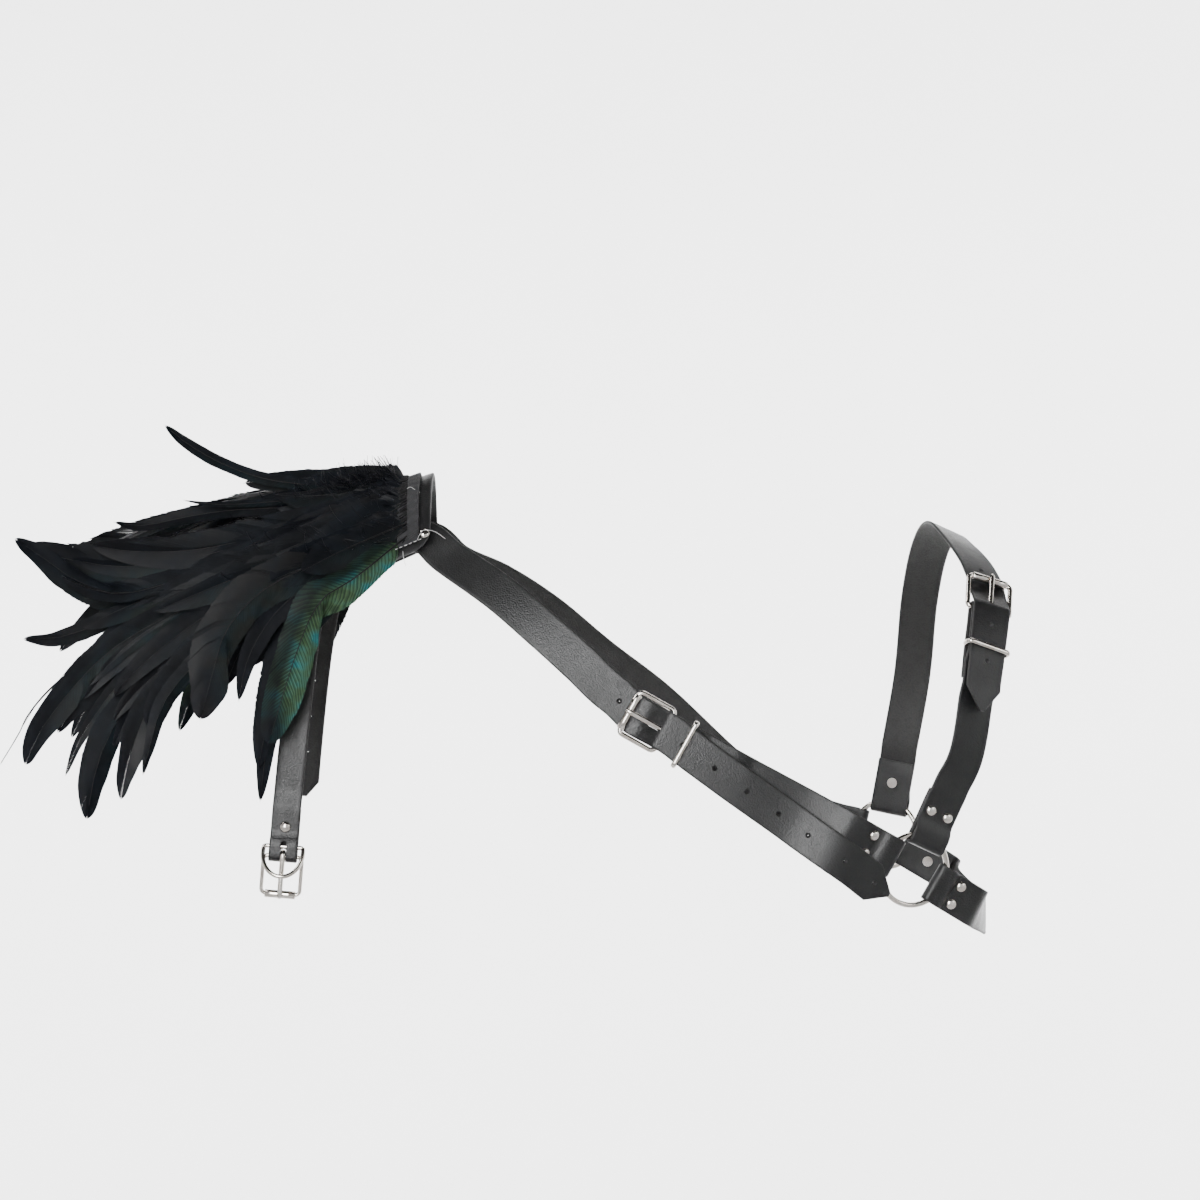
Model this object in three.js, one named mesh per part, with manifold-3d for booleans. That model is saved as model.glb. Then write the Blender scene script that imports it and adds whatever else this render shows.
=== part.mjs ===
// Feathered shoulder harness: a leather pad on the left shoulder with a trim of long feathers, held by
// riveted straps, two rings and roller buckles. Millimetres, +Z up. The wearer faces +Y and +X is the
// wearer's right. Shapes are worked out from a spine at x = 0 and then set down with the shoulder seat,
// the top of the left shoulder under the pad, at the origin.
import * as THREE from "three";
import { mergeVertices } from "three/addons/utils/BufferGeometryUtils.js";
import Module from "manifold-3d";

const wasm = await Module();
wasm.setup();

// Driving sizes
const GAP = 0.3; // between pieces that touch
const STRAP = { width: 25, thick: 2, point: 13.5, tip: 3 }; // body straps, with the length and tip of a point
const ARM_STRAP = { width: 18, thick: 2, point: 10, tip: 3 };
const RING = { radius: 22.5, wire: 1.75 }; // mean radius, wire radius
const BUCKLE = { span: 14.5, reach: 25, wire: 1.4, corner: 2.2, roller: 2.5, rollerLength: 24, prong: 1.25 };
const ARM_BUCKLE = { ...BUCKLE, span: 12.2, reach: 24, rollerLength: 19.4 };
const KEEPER = { wire: 1.2, corner: 2.2, side: 1.9 };
const DROP_KEEPER = { wire: 1.2, span: 12.6, depth: 21, back: 6, droop: 30, corner: 2.2 }; // it hangs open
const RIVET = { cap: 3.5, dome: 1.9, shank: 1.5, hole: 1.9, washer: 0.8, pair: 6.25 };
const HOLE = { radius: 1.75, pitch: 24 };
// sweep: degrees that each half arch turns; clear: room under the pad for a flat strap end
const PAD = { thick: 2.5, corner: 9, sweep: 62, halfArch: 80, clear: 2 };
const TAPE = { from: 7.5, width: 13.5, thick: 1.4, clear: 0.7 };
const FEATHER = { thick: 3.2, root: 0.45 }; // lock thickness, width at the root as a share of the full width
// ease: run in which a strap comes down from a fold; margin: flat leather round a rivet cap; rivet: from the
// keeper to the rivet behind it; pocket and rise: room for the keeper in the fold and the slope behind it
const FOLD = { steps: 6, ease: 12, margin: 1, rivet: 15, pocket: 4, rise: 6, pastRing: 0.8 };
const PRONG_SLOT = { long: 11, side: 0.9, shift: 1, deep: 20 }; // in the fold round a bar
const PRONG_HOLE = { long: 12, side: 0.8, shift: 7.5, deep: 16, keepOff: 8 }; // in the tail
// lead: flat run before the roller; tuck: short of it; sag and lift: height of the tail half way and at its
// tip against its level over the buckle; veer: how much faster it wanders ahead of the roller
const TAIL = { lead: 14, tuck: 6, half: 0.45, sag: 1, lift: 0.9, veer: 2 };
const STRAP_STEP = 16;

// Levels above the skin, to the middle of a strap's wall
const UNDER = GAP + STRAP.thick / 2;
const UPPER = UNDER + STRAP.thick + GAP;
const BAR_LEVEL = UNDER + STRAP.thick / 2 + GAP + BUCKLE.wire;
const OVER_BAR = BAR_LEVEL + BUCKLE.wire + GAP + STRAP.thick / 2;
const OVER_BUCKLE = OVER_BAR + STRAP.thick + 2 * GAP;
const ROLLER_LEVEL = UNDER + STRAP.thick / 2 + 2 * GAP + BUCKLE.roller;
const RING_LEVEL = UNDER + STRAP.thick / 2 + GAP + RING.wire;
const OVER_RING = RING_LEVEL + RING.wire + GAP + STRAP.thick / 2;
const RIVET_LEVEL = UPPER + STRAP.thick / 2 + GAP; // under a cap on two layers
const RING_GRIP = 2 * STRAP.thick + GAP;
const RING_SEAT = Math.sqrt(RING.radius ** 2 - (STRAP.width / 2) ** 2) - 0.5; // where a fold holds the ring

// Body of the wearer. A row is a point on the skin and the way it faces: turn goes from the back (0) by the
// right side (90) to the front (180), and lean from the back (0) over the shoulder (90) to the front (180).
const BACK_RING = { x: 165, y: -101, z: -168.4, turn: 20, lean: -8 };
const FRONT_RING = { x: 163, y: 118, z: -160, turn: 20, lean: 180 };
const BACK_ROWS = [
  { x: 95, y: -117, z: -128.5, turn: 6, lean: -2 },
  { x: 57, y: -119, z: -108, turn: 2, lean: 0 },
  { x: 10.5, y: -118, z: -82.2, turn: 0, lean: 3 },
  { x: -13, y: -116.5, z: -69, turn: 0, lean: 4 },
  { x: -28, y: -115, z: -58.5, turn: 0, lean: 6 },
  { x: -45, y: -112, z: -42, turn: -1, lean: 10 },
  { x: -69.5, y: -104, z: -19.5, turn: -3, lean: 17 },
  { x: -94, y: -93, z: 2, turn: -5, lean: 26 },
  { x: -127, y: -75, z: 26, turn: -8, lean: 37 },
];
const SHOULDER_ROWS = [
  { x: 198, y: -102, z: -100, turn: 27, lean: 2 },
  { x: 205, y: -100, z: -63, turn: 28, lean: 10 },
  { x: 209, y: -92, z: -36, turn: 26, lean: 21 },
  { x: 214, y: -78, z: -9.5, turn: 21, lean: 32 },
  { x: 215.5, y: -67, z: 5, turn: 20, lean: 39 },
  { x: 211, y: -50, z: 21, turn: 24, lean: 50 },
  { x: 201, y: -24, z: 37, turn: 26, lean: 68 },
  { x: 194, y: 6, z: 45, turn: 24, lean: 90 },
  { x: 189, y: 46, z: 34, turn: 20, lean: 118 },
  { x: 185, y: 86, z: 0, turn: 18, lean: 146 },
  { x: 182, y: 112, z: -52, turn: 17, lean: 168 },
];
const SIDE_ROWS = [
  { x: 213, y: -52, z: -200, turn: 68, lean: 0 },
  { x: 218, y: -12, z: -204, turn: 86, lean: 0 },
  { x: 216, y: 34, z: -201, turn: 100, lean: 0 },
  { x: 208, y: 70, z: -193, turn: 116, lean: 0 },
];
const FRONT_ROWS = [
  { x: 92, y: 134, z: -142, turn: 6, lean: 180 },
  { x: 56, y: 137, z: -112, turn: 2, lean: 180 },
  { x: 9, y: 134, z: -68, turn: 0, lean: 177 },
  { x: -30, y: 126, z: -38, turn: 0, lean: 172 },
  { x: -66, y: 110, z: -8, turn: -3, lean: 163 },
  { x: -98, y: 89, z: 13, turn: -5, lean: 153 },
  { x: -127, y: 61, z: 27, turn: -8, lean: 143 },
];
const ARM_ROWS = [
  { x: -215, y: -82, z: -18, turn: 0, lean: 6 },
  { x: -218, y: -84, z: -40, turn: 0, lean: 3 },
  { x: -222, y: -86, z: -77, turn: 0, lean: 2 },
  { x: -226, y: -87, z: -117, turn: 0, lean: 0 },
  { x: -229.5, y: -87, z: -159, turn: 0, lean: 0 },
  { x: -232, y: -87, z: -190, turn: 0, lean: 0 },
];
const ARM_FRONT_ROWS = [
  { x: -216, y: 73, z: -18, turn: 0, lean: 174 },
  { x: -220, y: 76, z: -44, turn: 0, lean: 178 },
  { x: -226, y: 78, z: -100, turn: 0, lean: 180 },
  { x: -231, y: 78, z: -160, turn: 0, lean: 180 },
];

// Where things sit along the body straps, from the middle of the back ring or down the arm, in mm
// keeper: from the bar to the keeper; wander: how far the tail drifts to the side for each mm along it
const BACK = {
  bar: 181, keeper: 15, freeEnd: 47, ringRivet: 36,
  tailTip: 10, wander: 0.125, holes: 9, firstHole: 34,
};
const SHOULDER = {
  bar: 173, keeper: 27, freeEnd: 47, ringRivet: 38,
  tailTip: 107, wander: 0, holes: 4, firstHole: 36,
};
const SIDE = { ringRivet: 35 };
const FRONT = { ringRivet: 36 };
const FLAT_AT_RING = [30, 50]; // a strap lies in the ring's own plane this far
const FREE_END = 51; // length of a strap end turned back round a ring
const ARM = { bar: 195, rivet: 18.5, freeEnd: 30, hang: 1.6 }; // hang: how far the open roller swings in
const ARM_FRONT = { length: 168, holes: 4, firstHole: 66 };

// Shoulder pad: a row is one arch over the shoulder, from its back edge over its top to its front edge.
const PAD_ROWS = [
  { x: -138, topY: -5, topZ: 82, backY: -67, backZ: 35, frontY: 54, frontZ: 37 },
  { x: -178, topY: -5, topZ: 66, backY: -80, backZ: 17, frontY: 67, frontZ: 20 },
  { x: -218, topY: -5, topZ: 45, backY: -86, backZ: -3, frontY: 75, frontZ: 1 },
  { x: -258, topY: -5, topZ: 20, backY: -84, backZ: -26, frontY: 76, frontZ: -21 },
];
const SEAT = { x: -170, y: -5, z: 67.8 };

// Feathers of each part of the trim: root is the place along the tape from the back (-1) to the front (1),
// then the tip, how far the quill bows up and stands out from a straight line, and the width of the vane.
const BACK_FEATHERS = [
  { root: -0.8, x: -236, y: -124, z: -88, bow: 12, out: 20, width: 27 },
  { root: -0.77, x: -244, y: -114, z: -125, bow: 16, out: 24, width: 14 },
  { root: -0.74, x: -280, y: -118, z: -74, bow: 14, out: 22, width: 26 },
  { root: -0.7, x: -317, y: -106, z: -108, bow: 18, out: 24, width: 24 },
  { root: -0.66, x: -333, y: -97, z: -126, bow: 20, out: 26, width: 22 },
  { root: -0.61, x: -355, y: -86, z: -137, bow: 22, out: 28, width: 28 },
  { root: -0.56, x: -395, y: -76, z: -103, bow: 24, out: 26, width: 30 },
  { root: -0.52, x: -412, y: -64, z: -105, bow: 24, out: 26, width: 12 },
  { root: -0.46, x: -372, y: -72, z: -60, bow: 18, out: 22, width: 36 },
  { root: -0.4, x: -397, y: -62, z: -25, bow: 10, out: 18, width: 26 },
  { root: -0.33, x: -404, y: -54, z: 33, bow: -7, out: 8, width: 44 },
];
const TOP_FEATHERS = [
  { root: -0.2, x: -343, y: -28, z: 50, bow: 2, out: 4, width: 18 },
  { root: -0.12, x: -293, y: -34, z: 63, bow: 2, out: 4, width: 11 },
  { root: -0.02, x: -312, y: -14, z: 113, bow: -22, out: 0, width: 11 },
  { root: 0.06, x: -384, y: 0, z: 36, bow: 0, out: 5, width: 34 },
  { root: 0.16, x: -346, y: 16, z: 46, bow: -2, out: 4, width: 28 },
  { root: 0.22, x: -296, y: 24, z: 64, bow: -4, out: 0, width: 20 },
];
const FRONT_FEATHERS = [
  { root: 0.33, x: -396, y: 44, z: 20, bow: -2, out: 10, width: 36 },
  { root: 0.4, x: -390, y: 56, z: -34, bow: 12, out: 20, width: 28 },
  { root: 0.46, x: -368, y: 66, z: -66, bow: 18, out: 24, width: 32 },
  { root: 0.52, x: -384, y: 70, z: -92, bow: 24, out: 26, width: 26 },
  { root: 0.58, x: -346, y: 82, z: -118, bow: 22, out: 28, width: 28 },
  { root: 0.64, x: -314, y: 92, z: -88, bow: 20, out: 26, width: 26 },
  { root: 0.7, x: -284, y: 102, z: -58, bow: 16, out: 24, width: 26 },
  { root: 0.75, x: -254, y: 106, z: -84, bow: 16, out: 26, width: 22 },
  { root: 0.8, x: -230, y: 108, z: -56, bow: 12, out: 22, width: 25 },
];
const TRIM_ENDS = { back: [-0.94, -0.28], top: [-0.27, 0.27], front: [0.28, 0.94] };

const LEATHER = new THREE.MeshStandardMaterial({ color: 0x17181b, roughness: 0.5, metalness: 0 });
const PAD_LEATHER = new THREE.MeshStandardMaterial({ color: 0x1b1c20, roughness: 0.45, metalness: 0 });
const NICKEL = new THREE.MeshStandardMaterial({ color: 0xc9c6c2, roughness: 0.2, metalness: 1 });
const PLUMAGE = new THREE.MeshStandardMaterial({ color: 0x0c0d10, roughness: 0.6, metalness: 0 });

const harness = new THREE.Group();
harness.position.set(-SEAT.x, -SEAT.y, -SEAT.z);

const radians = THREE.MathUtils.degToRad;
const lerp = THREE.MathUtils.lerp;
const vec = (x, y, z) => new THREE.Vector3(x, y, z);

// Closed solids

// A closed surface through a row of loops with equal counts of points. A ring of loops joins its ends.
function loft(loops, joined = false) {
  const sides = loops[0].length;
  const triangles = [];
  const spans = joined ? loops.length : loops.length - 1;
  for (let i = 0; i < spans; i++) {
    const here = i * sides;
    const next = ((i + 1) % loops.length) * sides;
    for (let j = 0; j < sides; j++) {
      const k = (j + 1) % sides;
      triangles.push(here + j, here + k, next + k, here + j, next + k, next + j);
    }
  }
  if (!joined) {
    const end = (loops.length - 1) * sides;
    for (let j = 0; j < sides / 2 - 1; j++) {
      const [a, b, c, d] = [j, j + 1, sides - 2 - j, sides - 1 - j];
      triangles.push(a, c, b, a, d, c, end + a, end + b, end + c, end + a, end + c, end + d);
    }
  }
  const points = loops.flat();
  const swap = signedVolume(points, triangles) < 0;
  if (swap) triangles.reverse();
  const geometry = new THREE.BufferGeometry().setFromPoints(points);
  geometry.setIndex(triangles);
  return geometry;
}

function signedVolume(points, triangles) {
  let sum = 0;
  for (let i = 0; i < triangles.length; i += 3) {
    const [a, b, c] = [0, 1, 2].map((k) => points[triangles[i + k]]);
    sum += a.dot(b.clone().cross(c));
  }
  return sum / 6;
}

function solidOf(geometry) {
  const bare = geometry.clone();
  bare.deleteAttribute("normal");
  bare.deleteAttribute("uv");
  const merged = mergeVertices(bare, 1e-4);
  return new wasm.Manifold(
    new wasm.Mesh({
      numProp: 3,
      vertProperties: new Float32Array(merged.attributes.position.array),
      triVerts: new Uint32Array(merged.index.array),
    }),
  );
}

function geometryOf(solid) {
  const mesh = solid.getMesh();
  const geometry = new THREE.BufferGeometry();
  geometry.setAttribute("position", new THREE.BufferAttribute(mesh.vertProperties, 3));
  geometry.setIndex(new THREE.BufferAttribute(mesh.triVerts, 1));
  geometry.computeVertexNormals();
  return geometry;
}

// The geometry with every cutter taken away from it.
function cut(geometry, cutters) {
  const left = cutters.reduce((solid, cutter) => solid.subtract(solidOf(cutter)), solidOf(geometry));
  return geometryOf(left);
}

function fuse(geometries) {
  return geometries.map(solidOf).reduce((a, b) => a.add(b));
}

function addPiece(name, geometry, material, parent = harness) {
  const mesh = new THREE.Mesh(geometry, material);
  mesh.name = name;
  parent.add(mesh);
  return mesh;
}

// Lines on the body

function facing({ turn, lean }) {
  const [t, l] = [radians(turn), radians(lean)];
  return vec(Math.sin(t), -Math.cos(t) * Math.cos(l), Math.cos(t) * Math.sin(l));
}

const placeOf = (row) => vec(row.x, row.y, row.z);

// A ring and the rows beside it: in the ring's own plane, on the way to the row that follows.
function fromRing(ring, next) {
  const away = placeOf(next).sub(placeOf(ring)).projectOnPlane(facing(ring)).normalize();
  return [0, ...FLAT_AT_RING].map((far) => {
    const place = placeOf(ring).addScaledVector(away, far);
    return { ...ring, x: place.x, y: place.y, z: place.z };
  });
}

// A smooth line through rows of the body, measured in mm from its first row.
class BodyLine {
  constructor(rows, samples = 500) {
    this.places = new THREE.CatmullRomCurve3(rows.map(placeOf));
    this.normals = new THREE.CatmullRomCurve3(rows.map((row) => row.out ?? facing(row)));
    this.lengths = [0];
    let last = this.places.getPoint(0);
    for (let i = 1; i <= samples; i++) {
      const here = this.places.getPoint(i / samples);
      this.lengths.push(this.lengths[i - 1] + here.distanceTo(last));
      last = here;
    }
  }

  get length() {
    return this.lengths.at(-1);
  }

  // Place, heading, outward normal and sideways direction at s, lifted off the skin and moved to the side.
  // Past an end the line runs straight on.
  frame(s, lift = 0, sway = 0) {
    const inside = THREE.MathUtils.clamp(s, 0, this.length);
    const samples = this.lengths.length - 1;
    const found = this.lengths.findIndex((length) => length >= inside);
    const i = Math.max(found, 1);
    const share = (inside - this.lengths[i - 1]) / (this.lengths[i] - this.lengths[i - 1]);
    const t = (i - 1 + share) / samples;
    const heading = this.places.getTangent(t);
    const out = this.normals.getPoint(t).projectOnPlane(heading).normalize();
    const side = out.clone().cross(heading);
    const place = this.places.getPoint(t).addScaledVector(heading, s - inside);
    place.addScaledVector(out, lift).addScaledVector(side, sway);
    return { place, heading, out, side };
  }

  point(s, lift, sway = 0) {
    return this.frame(s, lift, sway).place;
  }
}

function basisOf({ place, heading, out, side }) {
  return new THREE.Matrix4().makeBasis(heading, side, out).setPosition(place);
}

// A group whose x runs along a line, y to its side and z out of the body.
function groupAt(frame) {
  const group = new THREE.Group();
  group.applyMatrix4(basisOf(frame));
  harness.add(group);
  return group;
}

// Straps

// Half a turn in the side view, from angle to angle in degrees about a bar.
function turnAbout(s, lift, radius, from, to) {
  return Array.from({ length: FOLD.steps + 1 }, (_, i) => {
    const angle = radians(lerp(from, to, i / FOLD.steps));
    return { s: s + radius * Math.cos(angle), lift: lift + radius * Math.sin(angle) };
  });
}

// A strap end turned back round a ring, from its free end to where the strap lies on the skin again.
function ringEnd(rivet, at = 0, way = 1) {
  const flat = RIVET.cap + FOLD.margin;
  const rows = [
    { s: FREE_END, lift: UNDER },
    { s: rivet + flat, lift: UNDER },
    ...turnAbout(RING_SEAT, RING_LEVEL, OVER_RING - RING_LEVEL, 270, 90),
    { s: RING.radius + RING.wire + FOLD.pastRing, lift: OVER_RING },
    { s: rivet - flat, lift: UPPER },
    { s: rivet + flat, lift: UPPER },
    { s: FREE_END, lift: UPPER },
    { s: FREE_END + FOLD.ease, lift: UNDER },
  ];
  return rows.map((row) => ({ ...row, s: at + way * row.s }));
}

// A strap end turned back round a buckle's bar, from the skin to its free end.
function barEnd(bar, pocket, free) {
  return [
    { s: bar - free - FOLD.ease, lift: UNDER },
    { s: bar - free, lift: UPPER },
    { s: bar - pocket - FOLD.rise, lift: UPPER },
    { s: bar - pocket, lift: OVER_BAR },
    ...turnAbout(bar, BAR_LEVEL, OVER_BAR - BAR_LEVEL, 90, -90),
    { s: bar - free, lift: UNDER },
  ];
}

// A curve through values at rising places that never swings past them.
function steadyCurve(places, values) {
  const last = places.length - 1;
  const slopes = places.slice(1).map((place, i) => (values[i + 1] - values[i]) / (place - places[i]));
  const ends = places.map((_, i) => {
    if (i === 0 || i === last) return slopes[Math.min(i, last - 1)];
    const [a, b] = [slopes[i - 1], slopes[i]];
    return a * b > 0 ? (2 * a * b) / (a + b) : 0;
  });
  return (i, t) => {
    const run = places[i + 1] - places[i];
    const rise = t * t * (3 - 2 * t);
    const leave = t * (1 - t) ** 2 * ends[i];
    const arrive = t * t * (t - 1) * ends[i + 1];
    return lerp(values[i], values[i + 1], rise) + run * (leave + arrive);
  };
}

// The side view of a strap as closely spaced rows.
function spaced(rows) {
  const places = [0];
  for (let i = 1; i < rows.length; i++) {
    const [a, b] = [rows[i - 1], rows[i]];
    places.push(places[i - 1] + Math.hypot(b.s - a.s, b.lift - a.lift));
  }
  const [s, lift, sway] = ["s", "lift", "sway"].map((key) =>
    steadyCurve(places, rows.map((row) => row[key] ?? 0)),
  );
  const found = [];
  for (let i = 0; i < rows.length - 1; i++) {
    const steps = Math.max(1, Math.round((places[i + 1] - places[i]) / STRAP_STEP));
    for (let k = 0; k < steps; k++) {
      const share = k / steps;
      found.push({ s: s(i, share), lift: lift(i, share), sway: sway(i, share) });
    }
  }
  found.push({ sway: 0, ...rows.at(-1) });
  return found;
}

// A flat strap along a body line. A pointed strap narrows over its last stretch.
function strapGeometry(line, rows, size, pointed = false) {
  const path = spaced(rows);
  const tip = path.at(-1);
  if (pointed) {
    const neck = { ...tip, s: tip.s + Math.sign(path.at(-2).s - tip.s) * size.point };
    while (Math.abs(path.at(-2).s - tip.s) < size.point + 1) path.splice(-2, 1);
    path.splice(-1, 0, neck);
  }
  const loops = path.map((row, i) => {
    const before = path[Math.max(i - 1, 0)];
    const after = path[Math.min(i + 1, path.length - 1)];
    const [ds, dl] = [after.s - before.s, after.lift - before.lift];
    const half = size.thick / 2 / Math.hypot(ds, dl);
    const wide = (pointed && row === tip ? size.tip : size.width) / 2;
    const corners = [[1, 1], [-1, 1], [-1, -1], [1, -1]];
    return corners.map(([face, edge]) =>
      line.point(row.s - face * half * dl, row.lift + face * half * ds, row.sway + edge * wide),
    );
  });
  return loft(loops);
}

// A round or long cutter through the layers at a frame.
function holeAt(frame, radius, { deep = 12, long = 0 } = {}) {
  const shape = new THREE.Shape();
  shape.absarc(long / 2, 0, radius, -Math.PI / 2, Math.PI / 2);
  shape.absarc(-long / 2, 0, radius, Math.PI / 2, (3 * Math.PI) / 2);
  const cutter = new THREE.ExtrudeGeometry(shape, { depth: 2 * deep, bevelEnabled: false, curveSegments: 2 });
  return cutter.translate(0, 0, -deep).applyMatrix4(basisOf(frame));
}

// A tubular rivet: a domed cap on top, a shank through the layers and a flat cap beneath.
function addRivet(name, frame, grip = RING_GRIP) {
  const { cap, dome, shank, washer } = RIVET;
  const under = -grip - 3 * GAP;
  const profile = [
    [0, under - washer],
    [cap - 0.3, under - washer],
    [cap - 0.3, under],
    [shank, under],
    [shank, 0],
    [cap, 0],
    [cap * 0.72, dome * 0.74],
    [0, dome],
  ].map(([r, h]) => new THREE.Vector2(r, h));
  const geometry = new THREE.LatheGeometry(profile, 8).rotateX(Math.PI / 2);
  addPiece(name, geometry, NICKEL, groupAt(frame));
}

// The frames of two rivets side by side.
function rivetPair(line, s, lift = RIVET_LEVEL) {
  return [-1, 1].map((edge) => line.frame(s, lift, edge * RIVET.pair));
}

function addRivetPair(name, line, s) {
  const [upper, lower] = rivetPair(line, s);
  addRivet(`${name}_upper`, upper);
  addRivet(`${name}_lower`, lower);
}

// Wire goods

// A closed wire through points of the local x-y plane.
function wireLoop(points, radius, sides = 6) {
  const loops = points.map((point, i) => {
    const before = points.at(i - 1);
    const after = points[(i + 1) % points.length];
    const along = after.clone().sub(before).normalize();
    const across = vec(along.y, -along.x, 0);
    return Array.from({ length: sides }, (_, k) => {
      const angle = (2 * Math.PI * (k + 0.5)) / sides;
      const offset = across.clone().multiplyScalar(radius * Math.cos(angle));
      return point.clone().add(offset).add(vec(0, 0, radius * Math.sin(angle)));
    });
  });
  return loft(loops, true);
}

// The middle line of a rectangular wire with round corners, between two corners of the x-y plane.
function roundedRectangle(low, high, corner, steps = 2) {
  const shape = new THREE.Shape();
  shape.absarc(high.x - corner, high.y - corner, corner, 0, Math.PI / 2);
  shape.absarc(low.x + corner, high.y - corner, corner, Math.PI / 2, Math.PI);
  shape.absarc(low.x + corner, low.y + corner, corner, Math.PI, 1.5 * Math.PI);
  shape.absarc(high.x - corner, low.y + corner, corner, 1.5 * Math.PI, 2 * Math.PI);
  const points = shape.getPoints(steps).map(({ x, y }) => vec(x, y, 0));
  return points.filter((point, i) => point.distanceTo(points.at(i - 1)) > 0.01);
}

// The group of a buckle: its bar lies along y at the middle, and its roller is out along x.
function buckleGroup(line, bar, size, rollerLevel) {
  const { place, side } = line.frame(bar, BAR_LEVEL);
  const heading = line.point(bar + size.reach, rollerLevel).sub(place).projectOnPlane(side).normalize();
  return groupAt({ place, heading, side, out: heading.clone().cross(side) });
}

function frameGeometry(size) {
  const low = new THREE.Vector2(0, -size.span);
  const high = new THREE.Vector2(size.reach, size.span);
  return wireLoop(roundedRectangle(low, high, size.corner), size.wire);
}

function rollerGeometry(size) {
  const half = size.rollerLength / 2;
  const inner = size.wire + GAP;
  const profile = [[inner, -half], [size.roller, -half], [size.roller, half], [inner, half], [inner, -half]];
  const points = profile.map(([r, h]) => new THREE.Vector2(r, h));
  return new THREE.LatheGeometry(points, 12).translate(size.reach, 0, 0);
}

// A prong: an eye round the bar and a round tongue that ends on top of the roller.
function prongGeometry(size) {
  const inner = size.wire + GAP;
  const outer = inner + 2 * size.prong;
  const half = size.prong + 0.2;
  const profile = [[inner, -half], [outer, -half], [outer, half], [inner, half], [inner, -half]];
  const eye = new THREE.LatheGeometry(profile.map(([r, h]) => new THREE.Vector2(r, h)), 12);
  const start = vec(0.4, 0, inner + size.prong);
  const end = vec(size.reach + 2.2, 0, size.roller + GAP + size.prong);
  const sections = [0, 0.5, 0.92, 1].map((t) => {
    const thin = t < 1 ? 1 : 0.55;
    const middle = start.clone().lerp(end, t);
    return Array.from({ length: 8 }, (_, k) => {
      const angle = (2 * Math.PI * (k + 0.5)) / 8;
      const offset = vec(0, Math.cos(angle), Math.sin(angle)).multiplyScalar(size.prong * thin);
      return middle.clone().add(offset);
    });
  });
  return geometryOf(fuse([eye, loft(sections)]));
}

// The wire keeper behind a fastened buckle: round the tail and the front layer, through the strap's fold.
// The tail has drifted to the side there, and the keeper takes in both.
function addKeeper(name, line, s, drift) {
  const half = (STRAP.width + Math.abs(drift)) / 2 + KEEPER.side;
  const low = new THREE.Vector2(-half, BAR_LEVEL);
  const high = new THREE.Vector2(half, OVER_BUCKLE + STRAP.thick / 2 + GAP + KEEPER.wire);
  const geometry = wireLoop(roundedRectangle(low, high, KEEPER.corner), KEEPER.wire);
  geometry.rotateX(Math.PI / 2).rotateZ(Math.PI / 2);
  addPiece(name, geometry, NICKEL, groupAt(line.frame(s, 0, drift / 2)));
}

// The open keeper: a flat bar through the fold, two short sides and a round front that hangs down.
function dropKeeperGeometry({ span, depth, wire, droop, corner }) {
  const shape = new THREE.Shape();
  shape.absellipse(corner * 2, 0, depth - corner * 2, span, -Math.PI / 2, Math.PI / 2);
  const front = shape.getPoints(7).map(({ x, y }) => vec(x, y, 0));
  const back = [[0.7, 0.3], [0, corner]].map(([x, inset]) => vec(x, span - inset, 0));
  const mirrored = back.map(({ x, y }) => vec(x, -y, 0)).reverse();
  return wireLoop([...front, ...back, ...mirrored], wire).rotateY(-radians(droop));
}

function addBuckle(name, line, bar, size, rollerLevel) {
  const group = buckleGroup(line, bar, size, rollerLevel);
  addPiece(`${name}_buckle_frame`, frameGeometry(size), NICKEL, group);
  addPiece(`${name}_buckle_roller`, rollerGeometry(size), NICKEL, group);
  addPiece(`${name}_buckle_prong`, prongGeometry(size), NICKEL, group);
}

// A slot for the prong in the fold round a buckle's bar.
function prongSlot(line, bar, size) {
  return holeAt(line.frame(bar + PRONG_SLOT.shift), size.prong + PRONG_SLOT.side, PRONG_SLOT);
}

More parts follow.
